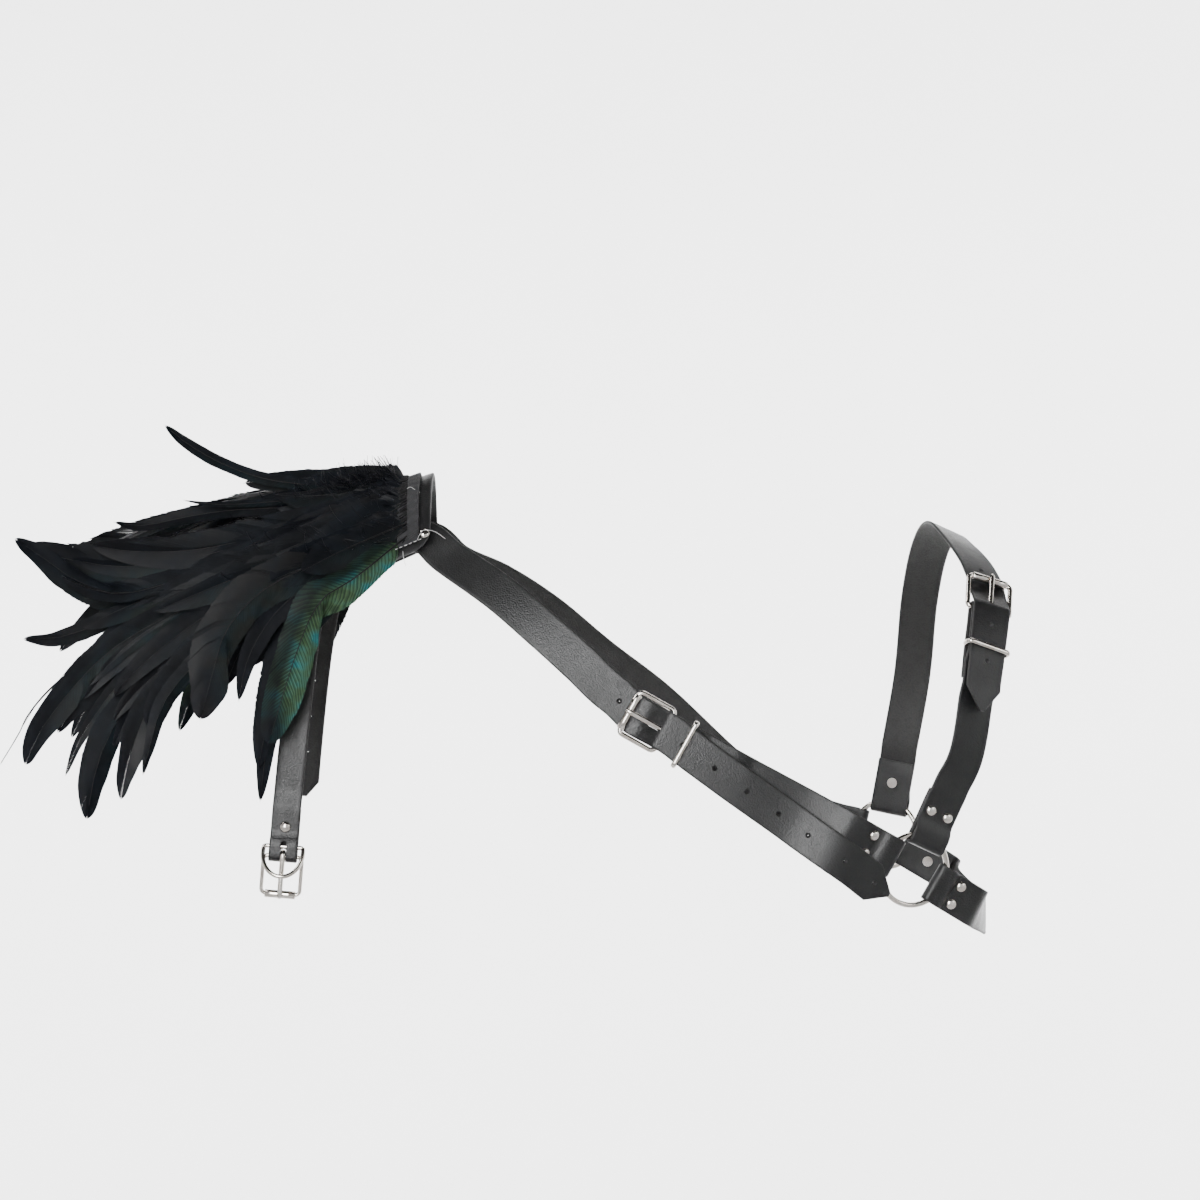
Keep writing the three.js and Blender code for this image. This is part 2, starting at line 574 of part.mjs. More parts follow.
// Two straps that meet in a fastened buckle: one from the back ring to the bar, and one with holes and a
// point that comes from the far end of the line, under the roller and over the bar.
function addBuckledStraps(name, line, at, farRows) {
  const { bar, keeper, ringRivet, tailTip, wander } = at;
  const roller = bar + BUCKLE.reach;
  const foldRivet = bar - keeper - FOLD.rivet;
  const buckleRows = [...ringEnd(ringRivet), ...barEnd(bar, keeper + FOLD.pocket, at.freeEnd)];
  const pairHoles = rivetPair(line, ringRivet).map((frame) => holeAt(frame, RIVET.hole));
  const buckleStrap = cut(strapGeometry(line, buckleRows, STRAP), [
    ...pairHoles,
    holeAt(line.frame(foldRivet), RIVET.hole),
    prongSlot(line, bar, BUCKLE),
  ]);
  addPiece(`${name}_buckle_strap`, buckleStrap, LEATHER);

  const overFold = OVER_BUCKLE - BAR_LEVEL;
  const pastKeeper = bar - keeper - FOLD.rise;
  const swayAt = (s) => wander * (s < bar ? bar - s : TAIL.veer * Math.min(roller - s, 0));
  const tailRows = [
    ...farRows,
    { s: roller + TAIL.lead, lift: UNDER },
    { s: roller - TAIL.tuck, lift: UNDER },
    ...turnAbout(bar, BAR_LEVEL, overFold, 40, 90).slice(1),
    { s: pastKeeper, lift: OVER_BUCKLE },
    { s: lerp(pastKeeper, tailTip, TAIL.half), lift: OVER_BUCKLE - TAIL.sag },
    { s: tailTip, lift: OVER_BUCKLE + TAIL.lift },
  ].map((row, i) => ({ ...row, sway: i < farRows.length ? 0 : swayAt(row.s) }));
  const holes = Array.from({ length: at.holes }, (_, i) => bar + at.firstHole - i * HOLE.pitch)
    .filter((s) => Math.abs(s - bar - PRONG_HOLE.shift) > PRONG_HOLE.keepOff)
    .map((s) => holeAt(line.frame(s, 0, swayAt(s)), HOLE.radius));
  const prongHole = holeAt(line.frame(bar + PRONG_HOLE.shift), BUCKLE.prong + PRONG_HOLE.side, PRONG_HOLE);
  addPiece(
    `${name}_tail_strap`,
    cut(strapGeometry(line, tailRows, STRAP, true), [...holes, prongHole, ...(at.farHoles ?? [])]),
    LEATHER,
  );

  addBuckle(name, line, bar, BUCKLE, ROLLER_LEVEL);
  addKeeper(`${name}_keeper`, line, bar - keeper, swayAt(bar - keeper));
  addRivetPair(`${name}_ring_rivet`, line, ringRivet);
  addRivet(`${name}_fold_rivet`, line.frame(foldRivet, RIVET_LEVEL));
}

function addRing(name, line) {
  const group = groupAt(line.frame(0, RING_LEVEL));
  addPiece(name, new THREE.TorusGeometry(RING.radius, RING.wire, 6, 22), NICKEL, group);
}

// Shoulder pad

function padRow(x) {
  const found = PAD_ROWS.findIndex((row) => row.x <= x);
  const i = THREE.MathUtils.clamp(found, 1, PAD_ROWS.length - 1);
  const [a, b] = [PAD_ROWS[i - 1], PAD_ROWS[i]];
  const share = (x - a.x) / (b.x - a.x);
  return Object.fromEntries(Object.keys(a).map((key) => [key, lerp(a[key], b[key], share)]));
}

// A point of the pad's middle surface, at x and at v from the back edge (-1) over the top to the front (1).
function padPlace(x, v) {
  const row = padRow(x);
  const [edgeY, edgeZ] = v < 0 ? [row.backY, row.backZ] : [row.frontY, row.frontZ];
  const sweep = radians(PAD.sweep);
  const out = Math.sin(Math.abs(v) * sweep) / Math.sin(sweep);
  const up = (Math.cos(v * sweep) - Math.cos(sweep)) / (1 - Math.cos(sweep));
  return vec(x, lerp(row.topY, edgeY, out), lerp(edgeZ, row.topZ, up));
}

function padNormal(x, v) {
  const outward = padPlace(x - 1, v).sub(padPlace(x + 1, v));
  const forward = padPlace(x, v + 0.02).sub(padPlace(x, v - 0.02));
  return outward.cross(forward).normalize().negate();
}

// The frame of a point on the pad's outer face.
function padFrame({ x, v }) {
  const out = padNormal(x, v);
  const heading = vec(-1, 0, 0).projectOnPlane(out).normalize();
  const place = padPlace(x, v).addScaledVector(out, PAD.thick / 2 + GAP);
  return { place, heading, out, side: out.clone().cross(heading) };
}

// A row of a body line that runs under the pad.
function underPad({ x, v }) {
  const out = padNormal(x, v);
  const place = padPlace(x, v).addScaledVector(out, -PAD.thick / 2 - PAD.clear - STRAP.thick - GAP);
  return { x: place.x, y: place.y, z: place.z, out };
}

// One wall between two heights over the pad's middle surface, across a range of x and v.
function padSheet(xs, reachAt, low, high, steps) {
  const loops = xs.map((x) => {
    const [from, to] = reachAt(x);
    const vs = Array.from({ length: steps + 1 }, (_, i) => lerp(from, to, i / steps));
    const wall = (height) => vs.map((v) => padPlace(x, v).addScaledVector(padNormal(x, v), height));
    return [...wall(high), ...wall(low).reverse()];
  });
  return loft(loops);
}

function addPad(cutters) {
  const first = PAD_ROWS[0].x;
  const last = PAD_ROWS.at(-1).x;
  const insets = [0, 0.5, 1].map((t) => PAD.corner * (1 - Math.sin(radians(90 * t))));
  const middle = PAD_ROWS.slice(1, -1).map((row) => row.x);
  const xs = [
    ...insets.map((inset) => first - inset).reverse(),
    ...middle,
    ...insets.map((inset) => last + inset),
  ];
  const reachAt = (x) => {
    const share = Math.max(1 - Math.min(first - x, x - last) / PAD.corner, 0);
    const round = (PAD.corner / PAD.halfArch) * (1 - Math.sqrt(1 - share ** 2));
    return [round - 1, 1 - round];
  };
  const sheet = padSheet(xs, reachAt, -PAD.thick / 2, PAD.thick / 2, 12);
  addPiece("shoulder_pad", cut(sheet, cutters), PAD_LEATHER);
}

// Feather trim

function tapePlace(v, height) {
  const x = PAD_ROWS[0].x - TAPE.from - TAPE.width / 2;
  return padPlace(x, v).addScaledVector(padNormal(x, v), height);
}

// One lock of the plume, along a bowed quill from the tape to its tip. grow makes it fatter all round.
function featherLock(feather, grow) {
  const base = PAD.thick / 2 + TAPE.clear + TAPE.thick;
  const root = tapePlace(feather.root, base + FEATHER.thick * 0.4);
  const tip = placeOf(feather);
  const chord = tip.clone().sub(root).normalize();
  const up = vec(0, 0, 1).projectOnPlane(chord).normalize();
  const face = padNormal(PAD_ROWS[0].x - TAPE.from, feather.root);
  const clear = face.clone().projectOnPlane(chord).normalize();
  const control = root.clone().lerp(tip, 0.5);
  control.addScaledVector(up, 2 * feather.bow).addScaledVector(clear, 2 * feather.out);
  const quill = new THREE.QuadraticBezierCurve3(root, control, tip);
  const stations = [
    { t: 0, wide: FEATHER.root, deep: 1 },
    { t: 0.3, wide: 0.82, deep: 1 },
    { t: 0.6, wide: 1, deep: 0.8 },
    { t: 0.86, wide: 0.78, deep: 0.5 },
    { t: 1, wide: 0.12, deep: 0.3 },
  ];
  const loops = stations.map(({ t, wide, deep }) => {
    const heading = quill.getTangent(t);
    const out = face.clone().projectOnPlane(heading).normalize();
    const side = heading.clone().cross(out);
    const halfWide = (feather.width * wide) / 2 + grow;
    const halfDeep = (FEATHER.thick * deep) / 2 + grow;
    const corners = [[1, 0], [0, 1], [-1, 0], [0, -1]];
    return corners.map(([edge, rise]) =>
      quill.getPoint(t).addScaledVector(side, edge * halfWide).addScaledVector(out, rise * halfDeep),
    );
  });
  return loft(loops);
}

// A stretch of the sewn tape.
function tapeGeometry([from, to], grow = 0) {
  const x = PAD_ROWS[0].x - TAPE.from;
  const low = PAD.thick / 2 + TAPE.clear - grow;
  const steps = Math.max(3, Math.round((to - from) * 10));
  const high = low + TAPE.thick + 2 * grow;
  return padSheet([x + grow, x - TAPE.width - grow], () => [from, to], low, high, steps);
}

// The tape and locks of one part of the trim as one body.
function trimSolid(ends, feathers, grow = 0) {
  return fuse([tapeGeometry(ends, grow), ...feathers.map((feather) => featherLock(feather, grow))]);
}

function addTrim() {
  const largest = (solid) => solid.decompose().sort((a, b) => b.volume() - a.volume())[0];
  const back = trimSolid(TRIM_ENDS.back, BACK_FEATHERS);
  const front = trimSolid(TRIM_ENDS.front, FRONT_FEATHERS);
  const top = trimSolid(TRIM_ENDS.top, TOP_FEATHERS)
    .subtract(trimSolid(TRIM_ENDS.back, BACK_FEATHERS, GAP))
    .subtract(trimSolid(TRIM_ENDS.front, FRONT_FEATHERS, GAP));
  addPiece("feather_trim_back", geometryOf(back), PLUMAGE);
  addPiece("feather_trim_top", geometryOf(largest(top)), PLUMAGE);
  addPiece("feather_trim_front", geometryOf(front), PLUMAGE);
}

// Assembly

const PAD_RIVETS = {
  back: { x: -142, v: -0.9 },
  front: { x: -142, v: 0.9 },
  arm: { x: -208, v: -0.78 },
  arm_front: { x: -208, v: 0.78 },
};
const STRAP_TUCK = { x: -164, v: 0.78 }; // the hidden end of a body strap, on the front half of the pad
const ARM_TUCK = [{ x: -206, v: 0.66 }, { x: -211, v: 0.9 }]; // the hidden end of an arm strap
const behind = ({ x, v }) => ({ x, v: -v });
const backLine = new BodyLine([
  ...fromRing(BACK_RING, BACK_ROWS[0]),
  ...BACK_ROWS,
  underPad(PAD_RIVETS.back),
  underPad(behind(STRAP_TUCK)),
]);
const shoulderLine = new BodyLine([
  ...fromRing(BACK_RING, SHOULDER_ROWS[0]),
  ...SHOULDER_ROWS,
  ...fromRing(FRONT_RING, SHOULDER_ROWS.at(-1)).reverse(),
]);
const sideLine = new BodyLine([
  ...fromRing(BACK_RING, SIDE_ROWS[0]),
  ...SIDE_ROWS,
  ...fromRing(FRONT_RING, SIDE_ROWS.at(-1)).reverse(),
]);
const frontLine = new BodyLine([
  ...fromRing(FRONT_RING, FRONT_ROWS[0]),
  ...FRONT_ROWS,
  underPad(PAD_RIVETS.front),
  underPad(STRAP_TUCK),
]);
const armLine = new BodyLine([...ARM_TUCK.map((place) => underPad(behind(place))), ...ARM_ROWS]);
const armFrontLine = new BodyLine([...ARM_TUCK.map(underPad), ...ARM_FRONT_ROWS]);
const padHole = (name) => holeAt(padFrame(PAD_RIVETS[name]), RIVET.hole);

const backEnd = [{ s: backLine.length, lift: UNDER }];
addBuckledStraps("back", backLine, { ...BACK, farHoles: [padHole("back")] }, backEnd);

const shoulderEnd = shoulderLine.length - FRONT.ringRivet;
const shoulderFarHole = holeAt(shoulderLine.frame(shoulderEnd), RIVET.hole);
const shoulderFold = ringEnd(FRONT.ringRivet, shoulderLine.length, -1);
addBuckledStraps("shoulder", shoulderLine, { ...SHOULDER, farHoles: [shoulderFarHole] }, shoulderFold);

const sideEnd = sideLine.length - FRONT.ringRivet;
const sideRows = [
  ...ringEnd(SIDE.ringRivet),
  ...ringEnd(FRONT.ringRivet, sideLine.length, -1).reverse(),
];
const sideHoles = [...rivetPair(sideLine, SIDE.ringRivet), sideLine.frame(sideEnd)];
const sideStrap = strapGeometry(sideLine, sideRows, STRAP);
addPiece("side_strap", cut(sideStrap, sideHoles.map((frame) => holeAt(frame, RIVET.hole))), LEATHER);

const frontRows = [...ringEnd(FRONT.ringRivet), { s: frontLine.length, lift: UNDER }];
const frontHoles = [holeAt(frontLine.frame(FRONT.ringRivet), RIVET.hole), padHole("front")];
addPiece("front_strap", cut(strapGeometry(frontLine, frontRows, STRAP), frontHoles), LEATHER);

addRing("back_ring", backLine);
addRing("front_ring", frontLine);
addRivetPair("side_ring_rivet", sideLine, SIDE.ringRivet);
addRivet("side_front_rivet", sideLine.frame(sideEnd, RIVET_LEVEL));
addRivet("shoulder_front_rivet", shoulderLine.frame(shoulderEnd, RIVET_LEVEL));
addRivet("front_ring_rivet", frontLine.frame(FRONT.ringRivet, RIVET_LEVEL));

// The arm strap hangs open: its buckle half behind the arm and its plain half with holes in front.
const armRivet = ARM.bar - ARM.rivet;
const armRows = [
  { s: 0, lift: UNDER },
  { s: 40, lift: UNDER },
  ...barEnd(ARM.bar, DROP_KEEPER.back + 2, ARM.freeEnd),
];
const armStrap = cut(strapGeometry(armLine, armRows, ARM_STRAP), [
  holeAt(armLine.frame(armRivet), RIVET.hole),
  padHole("arm"),
  prongSlot(armLine, ARM.bar, ARM_BUCKLE),
]);
addPiece("arm_strap", armStrap, LEATHER);
addBuckle("arm", armLine, ARM.bar, ARM_BUCKLE, BAR_LEVEL - ARM.hang);
addRivet("arm_rivet", armLine.frame(armRivet, RIVET_LEVEL));

const keeperFrame = armLine.frame(ARM.bar - DROP_KEEPER.back, BAR_LEVEL);
addPiece("arm_keeper", dropKeeperGeometry(DROP_KEEPER), NICKEL, groupAt(keeperFrame));

const armFrontRows = [0, 40, ARM_FRONT.length].map((s) => ({ s, lift: UNDER }));
const armFrontHoles = Array.from({ length: ARM_FRONT.holes }, (_, i) =>
  holeAt(armFrontLine.frame(ARM_FRONT.firstHole + i * HOLE.pitch), HOLE.radius),
);
const armFrontStrap = strapGeometry(armFrontLine, armFrontRows, ARM_STRAP, true);
addPiece("arm_front_strap", cut(armFrontStrap, [...armFrontHoles, padHole("arm_front")]), LEATHER);

addPad(Object.keys(PAD_RIVETS).map(padHole));
const PAD_GRIP = STRAP.thick + PAD.clear + PAD.thick + GAP;
for (const [name, place] of Object.entries(PAD_RIVETS)) {
  addRivet(`${name}_pad_rivet`, padFrame(place), PAD_GRIP);
}
addTrim();

export default harness;
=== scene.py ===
"""Looks of a feathered shoulder harness: leather straps, nickel buckles, a shoulder pad and feathers.

Sizes and tables are in millimetres on the wearer: x to the wearer's right from the spine, y to the front and
z up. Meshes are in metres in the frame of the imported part.
"""

import logging
import math
from dataclasses import dataclass, field
from enum import Enum
from typing import Any, Callable, Iterable, Sequence

import bpy
import numpy as np
from bpy.types import Material, Mesh, Node, NodeSocket, NodeTree, Object
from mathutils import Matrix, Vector

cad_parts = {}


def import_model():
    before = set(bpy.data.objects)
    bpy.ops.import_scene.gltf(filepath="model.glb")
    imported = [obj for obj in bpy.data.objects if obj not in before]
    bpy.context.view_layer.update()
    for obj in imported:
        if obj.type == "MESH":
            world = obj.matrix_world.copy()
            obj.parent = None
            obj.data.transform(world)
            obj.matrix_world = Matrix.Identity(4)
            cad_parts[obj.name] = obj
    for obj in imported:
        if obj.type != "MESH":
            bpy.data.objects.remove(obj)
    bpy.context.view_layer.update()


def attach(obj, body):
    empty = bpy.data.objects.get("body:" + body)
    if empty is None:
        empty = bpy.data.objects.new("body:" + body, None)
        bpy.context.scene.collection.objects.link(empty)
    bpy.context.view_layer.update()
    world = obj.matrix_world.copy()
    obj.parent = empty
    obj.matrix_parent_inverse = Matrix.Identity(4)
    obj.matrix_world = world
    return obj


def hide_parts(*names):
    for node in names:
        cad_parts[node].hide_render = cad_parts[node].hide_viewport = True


Array = np.ndarray
Pair = tuple[float, float]
Triple = tuple[float, float, float]
Table = tuple[tuple[float, ...], ...]

LOG = logging.getLogger("harness")
SEAT = np.array([-170.0, -5.0, 67.8])  # the point of the wearer at the frame's origin
MM = 0.001
GAP = 0.3
TINY = 1e-4
SHARP = 40.0  # edges that turn more than this many degrees stay sharp
X_AXIS, Y_AXIS, Z_AXIS = np.eye(3)


class Body(Enum):
    """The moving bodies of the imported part."""

    HARNESS = "harness"
    BUCKLE = "arm_buckle"
    ROLLER = "arm_roller"
    PRONG = "arm_prong"
    KEEPER = "arm_keeper"


class Slot(Enum):
    """The finishes that the record names."""

    STRAP = "strap_leather"
    PAD = "pad_leather"
    NICKEL = "nickel"
    PLUMAGE = "plumage"


# Small vector tools


def unit(vector: Array) -> Array:
    """Scales vectors to length one."""
    return vector / np.linalg.norm(vector, axis=-1, keepdims=True)


def across(vector: Array, axis: Array) -> Array:
    """Takes away the part of vectors that lies along unit axes."""
    return vector - axis * np.sum(vector * axis, axis=-1, keepdims=True)


def lerp(a: Any, b: Any, t: Any) -> Any:
    """Goes from a to b as t goes from 0 to 1."""
    return a + (b - a) * t


def run_lengths(points: Array) -> Array:
    """Measures a line of points from its first one on."""
    return np.concatenate([[0.0], np.cumsum(np.linalg.norm(np.diff(points, axis=0), axis=1))])


def round_turn(steps: int) -> Array:
    """Gives the angles of a full turn in even steps."""
    return 2 * np.pi * np.arange(steps) / steps


def in_frame(points: Any) -> Array:
    """Turns millimetres on the wearer into metres in the part's frame."""
    return (np.asarray(points, dtype=float).reshape(-1, 3) - SEAT) * MM


# Meshes


@dataclass
class Draft:
    """A mesh in the making, in millimetres on the wearer."""

    points: list[Array] = field(default_factory=list)
    faces: list[tuple[int, ...]] = field(default_factory=list)
    values: dict[str, list[Array]] = field(default_factory=dict)
    count: int = 0
    crossing: bool = False

    def add(self, points: Array, faces: Iterable[Sequence[int]], **values: Array) -> None:
        """Adds points, faces that count from the first of them, and values at the points.

        Args:
            points: the new points.
            faces: corners of each face.
            **values: one number or one row for each point.
        """
        points = np.asarray(points, dtype=float).reshape(-1, 3)
        self.points.append(points)
        self.faces.extend(tuple(int(i) + self.count for i in face) for face in faces)
        for name, value in values.items():
            self.values.setdefault(name, []).append(np.asarray(value, dtype=float))
        self.count += len(points)

    def build(self, name: str, material: Material, sharp: float = SHARP) -> Object:
        """Makes the object.

        Args:
            name: name of the piece.
            material: its finish.
            sharp: edges that turn more than this many degrees stay sharp.

        Returns:
            The new object at the origin.
        """
        mesh = bpy.data.meshes.new(name)
        mesh.from_pydata(in_frame(np.concatenate(self.points)).tolist(), [], self.faces)
        for key, parts in self.values.items():
            value = np.concatenate(parts)
            if key == "uv":
                layer = mesh.uv_layers.new(name="UVMap")
                corners = np.empty(len(mesh.loops), dtype=np.int32)
                mesh.loops.foreach_get("vertex_index", corners)
                layer.data.foreach_set("uv", value[corners].ravel())
            else:
                data = mesh.attributes.new(key, "FLOAT", "POINT").data
                data.foreach_set("value", value.ravel())
        return placed(name, mesh, material, sharp)


def placed(
    name: str, mesh: Mesh, material: Material, sharp: float = SHARP
) -> Object:
    """Puts a mesh in the scene with smooth faces and sharp creases.

    Args:
        name: name of the piece.
        mesh: its mesh.
        material: its finish.
        sharp: edges that turn more than this many degrees stay sharp.

    Returns:
        The new object.
    """
    mesh.name = name
    mesh.materials.clear()
    mesh.materials.append(material)
    mesh.shade_smooth()
    mesh.set_sharp_from_angle(angle=math.radians(sharp))
    piece = bpy.data.objects.new(name, mesh)
    bpy.context.scene.collection.objects.link(piece)
    return piece


def grid_faces(rows: int, columns: int, ring: bool = True, joined: bool = False) -> list[tuple[int, ...]]:
    """Lists the faces of a grid of points that is stored row by row.

    Args:
        rows: number of rows.
        columns: points in a row.
        ring: whether a row closes on itself. Its two end rows then get a face each.
        joined: whether the last row meets the first.

    Returns:
        The corners of each face.
    """
    faces: list[tuple[int, ...]] = []
    for i in range(rows if joined else rows - 1):
        here, after = i * columns, ((i + 1) % rows) * columns
        for j in range(columns if ring else columns - 1):
            k = (j + 1) % columns
            faces.append((here + j, here + k, after + k, after + j))
    if ring and not joined:
        last = (rows - 1) * columns
        faces.append(tuple(range(columns - 1, -1, -1)))
        faces.append(tuple(range(last, last + columns)))
    return faces


def swept(loops: Array, joined: bool = False) -> tuple[Array, list[tuple[int, ...]]]:
    """Joins loops of points into a closed skin that faces outwards.

    Args:
        loops: points, loop by loop.
        joined: whether the last loop meets the first.

    Returns:
        Points and faces.
    """
    rows, columns = loops.shape[:2]
    faces = grid_faces(rows, columns, True, joined)
    points = loops.reshape(-1, 3)
    middle = points.mean(axis=0)
    volume = 0.0
    for face in faces:
        corners = points[list(face)] - middle
        for a, b in zip(corners[1:-1], corners[2:]):
            volume += float(np.dot(corners[0], np.cross(a, b)))
    if volume < 0:
        faces = [tuple(reversed(face)) for face in faces]
    return points, faces


def wire(points: Array, up: Array, radius: Any, sides: int, joined: bool) -> Array:
    """Sweeps a round section along a line.

    Args:
        points: the middle line.
        up: a direction that the line never takes, one or one for each point.
        radius: of the section, one or one for each point.
        sides: corners of the section.
        joined: whether the line closes on itself.

    Returns:
        Loops of points.
    """
    before, after = np.roll(points, 1, axis=0), np.roll(points, -1, axis=0)
    if not joined:
        before[0], after[-1] = points[0], points[-1]
    along = unit(after - before)
    rise = unit(across(np.broadcast_to(up, points.shape), along))
    aside = np.cross(along, rise)
    angles = 2 * np.pi * (np.arange(sides) + 0.5) / sides
    size = np.broadcast_to(np.asarray(radius, dtype=float), (len(points),))[:, None, None]
    turn = aside[:, None] * np.cos(angles)[:, None] + rise[:, None] * np.sin(angles)[:, None]
    return points[:, None] + turn * size


def punched(piece: Object, cutter: Draft) -> Object:
    """Cuts holes through a piece.

    Args:
        piece: the piece, which is cut in place.
        cutter: closed plugs, with crossing set where they run into each other.

    Returns:
        The same piece.
    """
    material = piece.data.materials[0]
    tool = cutter.build(f"{piece.name}_cutter", material)
    modifier = piece.modifiers.new("holes", "BOOLEAN")
    modifier.object = tool
    modifier.operation = "DIFFERENCE"
    modifier.solver = "EXACT"
    modifier.use_self = cutter.crossing
    graph = bpy.context.evaluated_depsgraph_get()
    mesh = bpy.data.meshes.new_from_object(piece.evaluated_get(graph), depsgraph=graph)
    piece.modifiers.clear()
    old = piece.data
    piece.data = mesh
    mesh.name = piece.name
    mesh.shade_smooth()
    mesh.set_sharp_from_angle(angle=math.radians(SHARP))
    bpy.data.meshes.remove(old)
    bpy.data.objects.remove(tool)
    return piece


def settle(piece: Object, slot: Slot, nodes: Sequence[str], body: Body = Body.HARNESS) -> None:
    """Hands a finished piece to the frame.

    Args:
        piece: the piece.
        slot: the record's finish; not used.
        nodes: the solids that it stands for.
        body: what it moves with.
    """
    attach(piece, body.value)
    if nodes:
        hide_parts(*nodes)
    LOG.info("%s: %d faces on %s", piece.name, len(piece.data.polygons), body.value)


# Node trees


class Graph:
    """Builds one node tree: adds nodes, sets their values and joins them."""

    def __init__(self, tree: NodeTree) -> None:
        """Starts with an empty tree."""
        self.tree = tree
        tree.nodes.clear()

    def add(self, kind: str, values: dict[Any, Any] | None = None, **settings: Any) -> Node:
        """Adds a node.

        Args:
            kind: Blender's name of the node.
            values: an input's name or number, with its value or the socket that feeds it.
            **settings: properties of the node.

        Returns:
            The node.
        """
        node = self.tree.nodes.new(kind)
        for key, value in settings.items():
            setattr(node, key, value)
        self.feed(node, values or {})
        return node

    def out(self, kind: str, values: dict[Any, Any] | None = None, **settings: Any) -> NodeSocket:
        """Adds a node and gives its first output."""
        return self.add(kind, values, **settings).outputs[0]

    def feed(self, node: Node, values: dict[Any, Any]) -> None:
        """Sets inputs of a node to values, or joins them to the sockets that feed them."""
        for key, value in values.items():
            if isinstance(value, NodeSocket):
                self.tree.links.new(value, node.inputs[key])
            else:
                node.inputs[key].default_value = value

    def place(self) -> NodeSocket:
        """Gives places on the piece itself."""
        return self.add("ShaderNodeTexCoord").outputs["Object"]

    def attribute(self, name: str) -> NodeSocket:
        """Reads a value that the mesh carries."""
        return self.add("ShaderNodeAttribute", attribute_name=name).outputs["Fac"]

    def math(self, kind: str, *values: Any) -> NodeSocket:
        """Adds a sum on numbers or sockets."""
        return self.out("ShaderNodeMath", dict(enumerate(values)), operation=kind)

    def blend(self, share: Any, a: Any, b: Any) -> NodeSocket:
        """Mixes two colours."""
        return self.add("ShaderNodeMix", {0: share, 6: a, 7: b}, data_type="RGBA").outputs[2]

    def times(self, a: Any, b: Any) -> NodeSocket:
        """Multiplies numbers or sockets."""
        return self.math("MULTIPLY", a, b)

    def ranged(
        self, value: Any, low: float, high: float, start: float = 0, end: float = 1
    ) -> NodeSocket:
        """Maps a value from start and end to low and high."""
        return self.out("ShaderNodeMapRange", {0: value, 1: start, 2: end, 3: low, 4: high})

    def noise(self, place: Any, scale: float, detail: float = 2.0) -> NodeSocket:
        """Adds cloudy noise."""
        return self.out("ShaderNodeTexNoise", {"Vector": place, "Scale": scale, "Detail": detail})

    def bump(self, height: Any, strength: float, deep: float) -> NodeSocket:
        """Turns a height into a normal."""
        return self.out("ShaderNodeBump", {"Height": height, "Strength": strength, "Distance": deep})


def colour(red: float, green: float, blue: float) -> tuple[float, float, float, float]:
    """Gives a solid colour."""
    return (red, green, blue, 1.0)


GRAIN_SOCKETS = (
    ("Place", "INPUT", "NodeSocketVector"),
    ("Pebble", "INPUT", "NodeSocketFloat"),
    ("Height", "OUTPUT", "NodeSocketFloat"),
    ("ToneAndCreaseShade", "OUTPUT", "NodeSocketFloat"),
)


def grain_group() -> NodeTree:
    """Makes the pebbled grain that strap and pad leather share, with random tone and painted shade: lighter
    pebble tops and darker creases between them.
    """
    found = bpy.data.node_groups.get("leather_grain")
    if found:
        return found
    tree = bpy.data.node_groups.new("leather_grain", "ShaderNodeTree")
    graph = Graph(tree)
    for name, way, kind in GRAIN_SOCKETS:
        tree.interface.new_socket(name=name, in_out=way, socket_type=kind)
    source = graph.add("NodeGroupInput")
    place, pebble = source.outputs["Place"], source.outputs["Pebble"]
    cells = graph.add("ShaderNodeTexVoronoi", {"Vector": place, "Scale": pebble}, feature="SMOOTH_F1")
    domes = graph.ranged(cells.outputs[0], 1.0, 0.0, 0.1, 0.75)
    fine = graph.noise(place, 2200.0)
    broad = graph.noise(place, 28.0, 3.0)
    streaks = graph.noise(place, 180.0, 3.0)
    height = graph.math("ADD", graph.times(domes, 0.8), graph.times(fine, 0.3))
    soft = graph.math("ADD", graph.times(broad, 0.35), graph.times(streaks, 0.3))
    # painted shade: the dome term makes pebble tops lighter and the creases between them darker in colour
    tone = graph.math("ADD", soft, graph.times(domes, 0.35))
    graph.add("NodeGroupOutput", {"Height": height, "ToneAndCreaseShade": tone})
    return tree


# Finishes


class Finish:
    """A finish that makes its material once."""

    name: str

    def material(self) -> Material:
        """Gives the material, made on first use."""
        found = bpy.data.materials.get(self.name)
        if found:
            return found
        made = bpy.data.materials.new(self.name)
        made.use_nodes = True
        graph = Graph(made.node_tree)
        shader = graph.add("ShaderNodeBsdfPrincipled")
        graph.add("ShaderNodeOutputMaterial", {"Surface": shader.outputs[0]})
        self.dress(graph, shader)
        return made

    def dress(self, graph: Graph, shader: Node) -> None:
        """Feeds the shader."""
        raise NotImplementedError


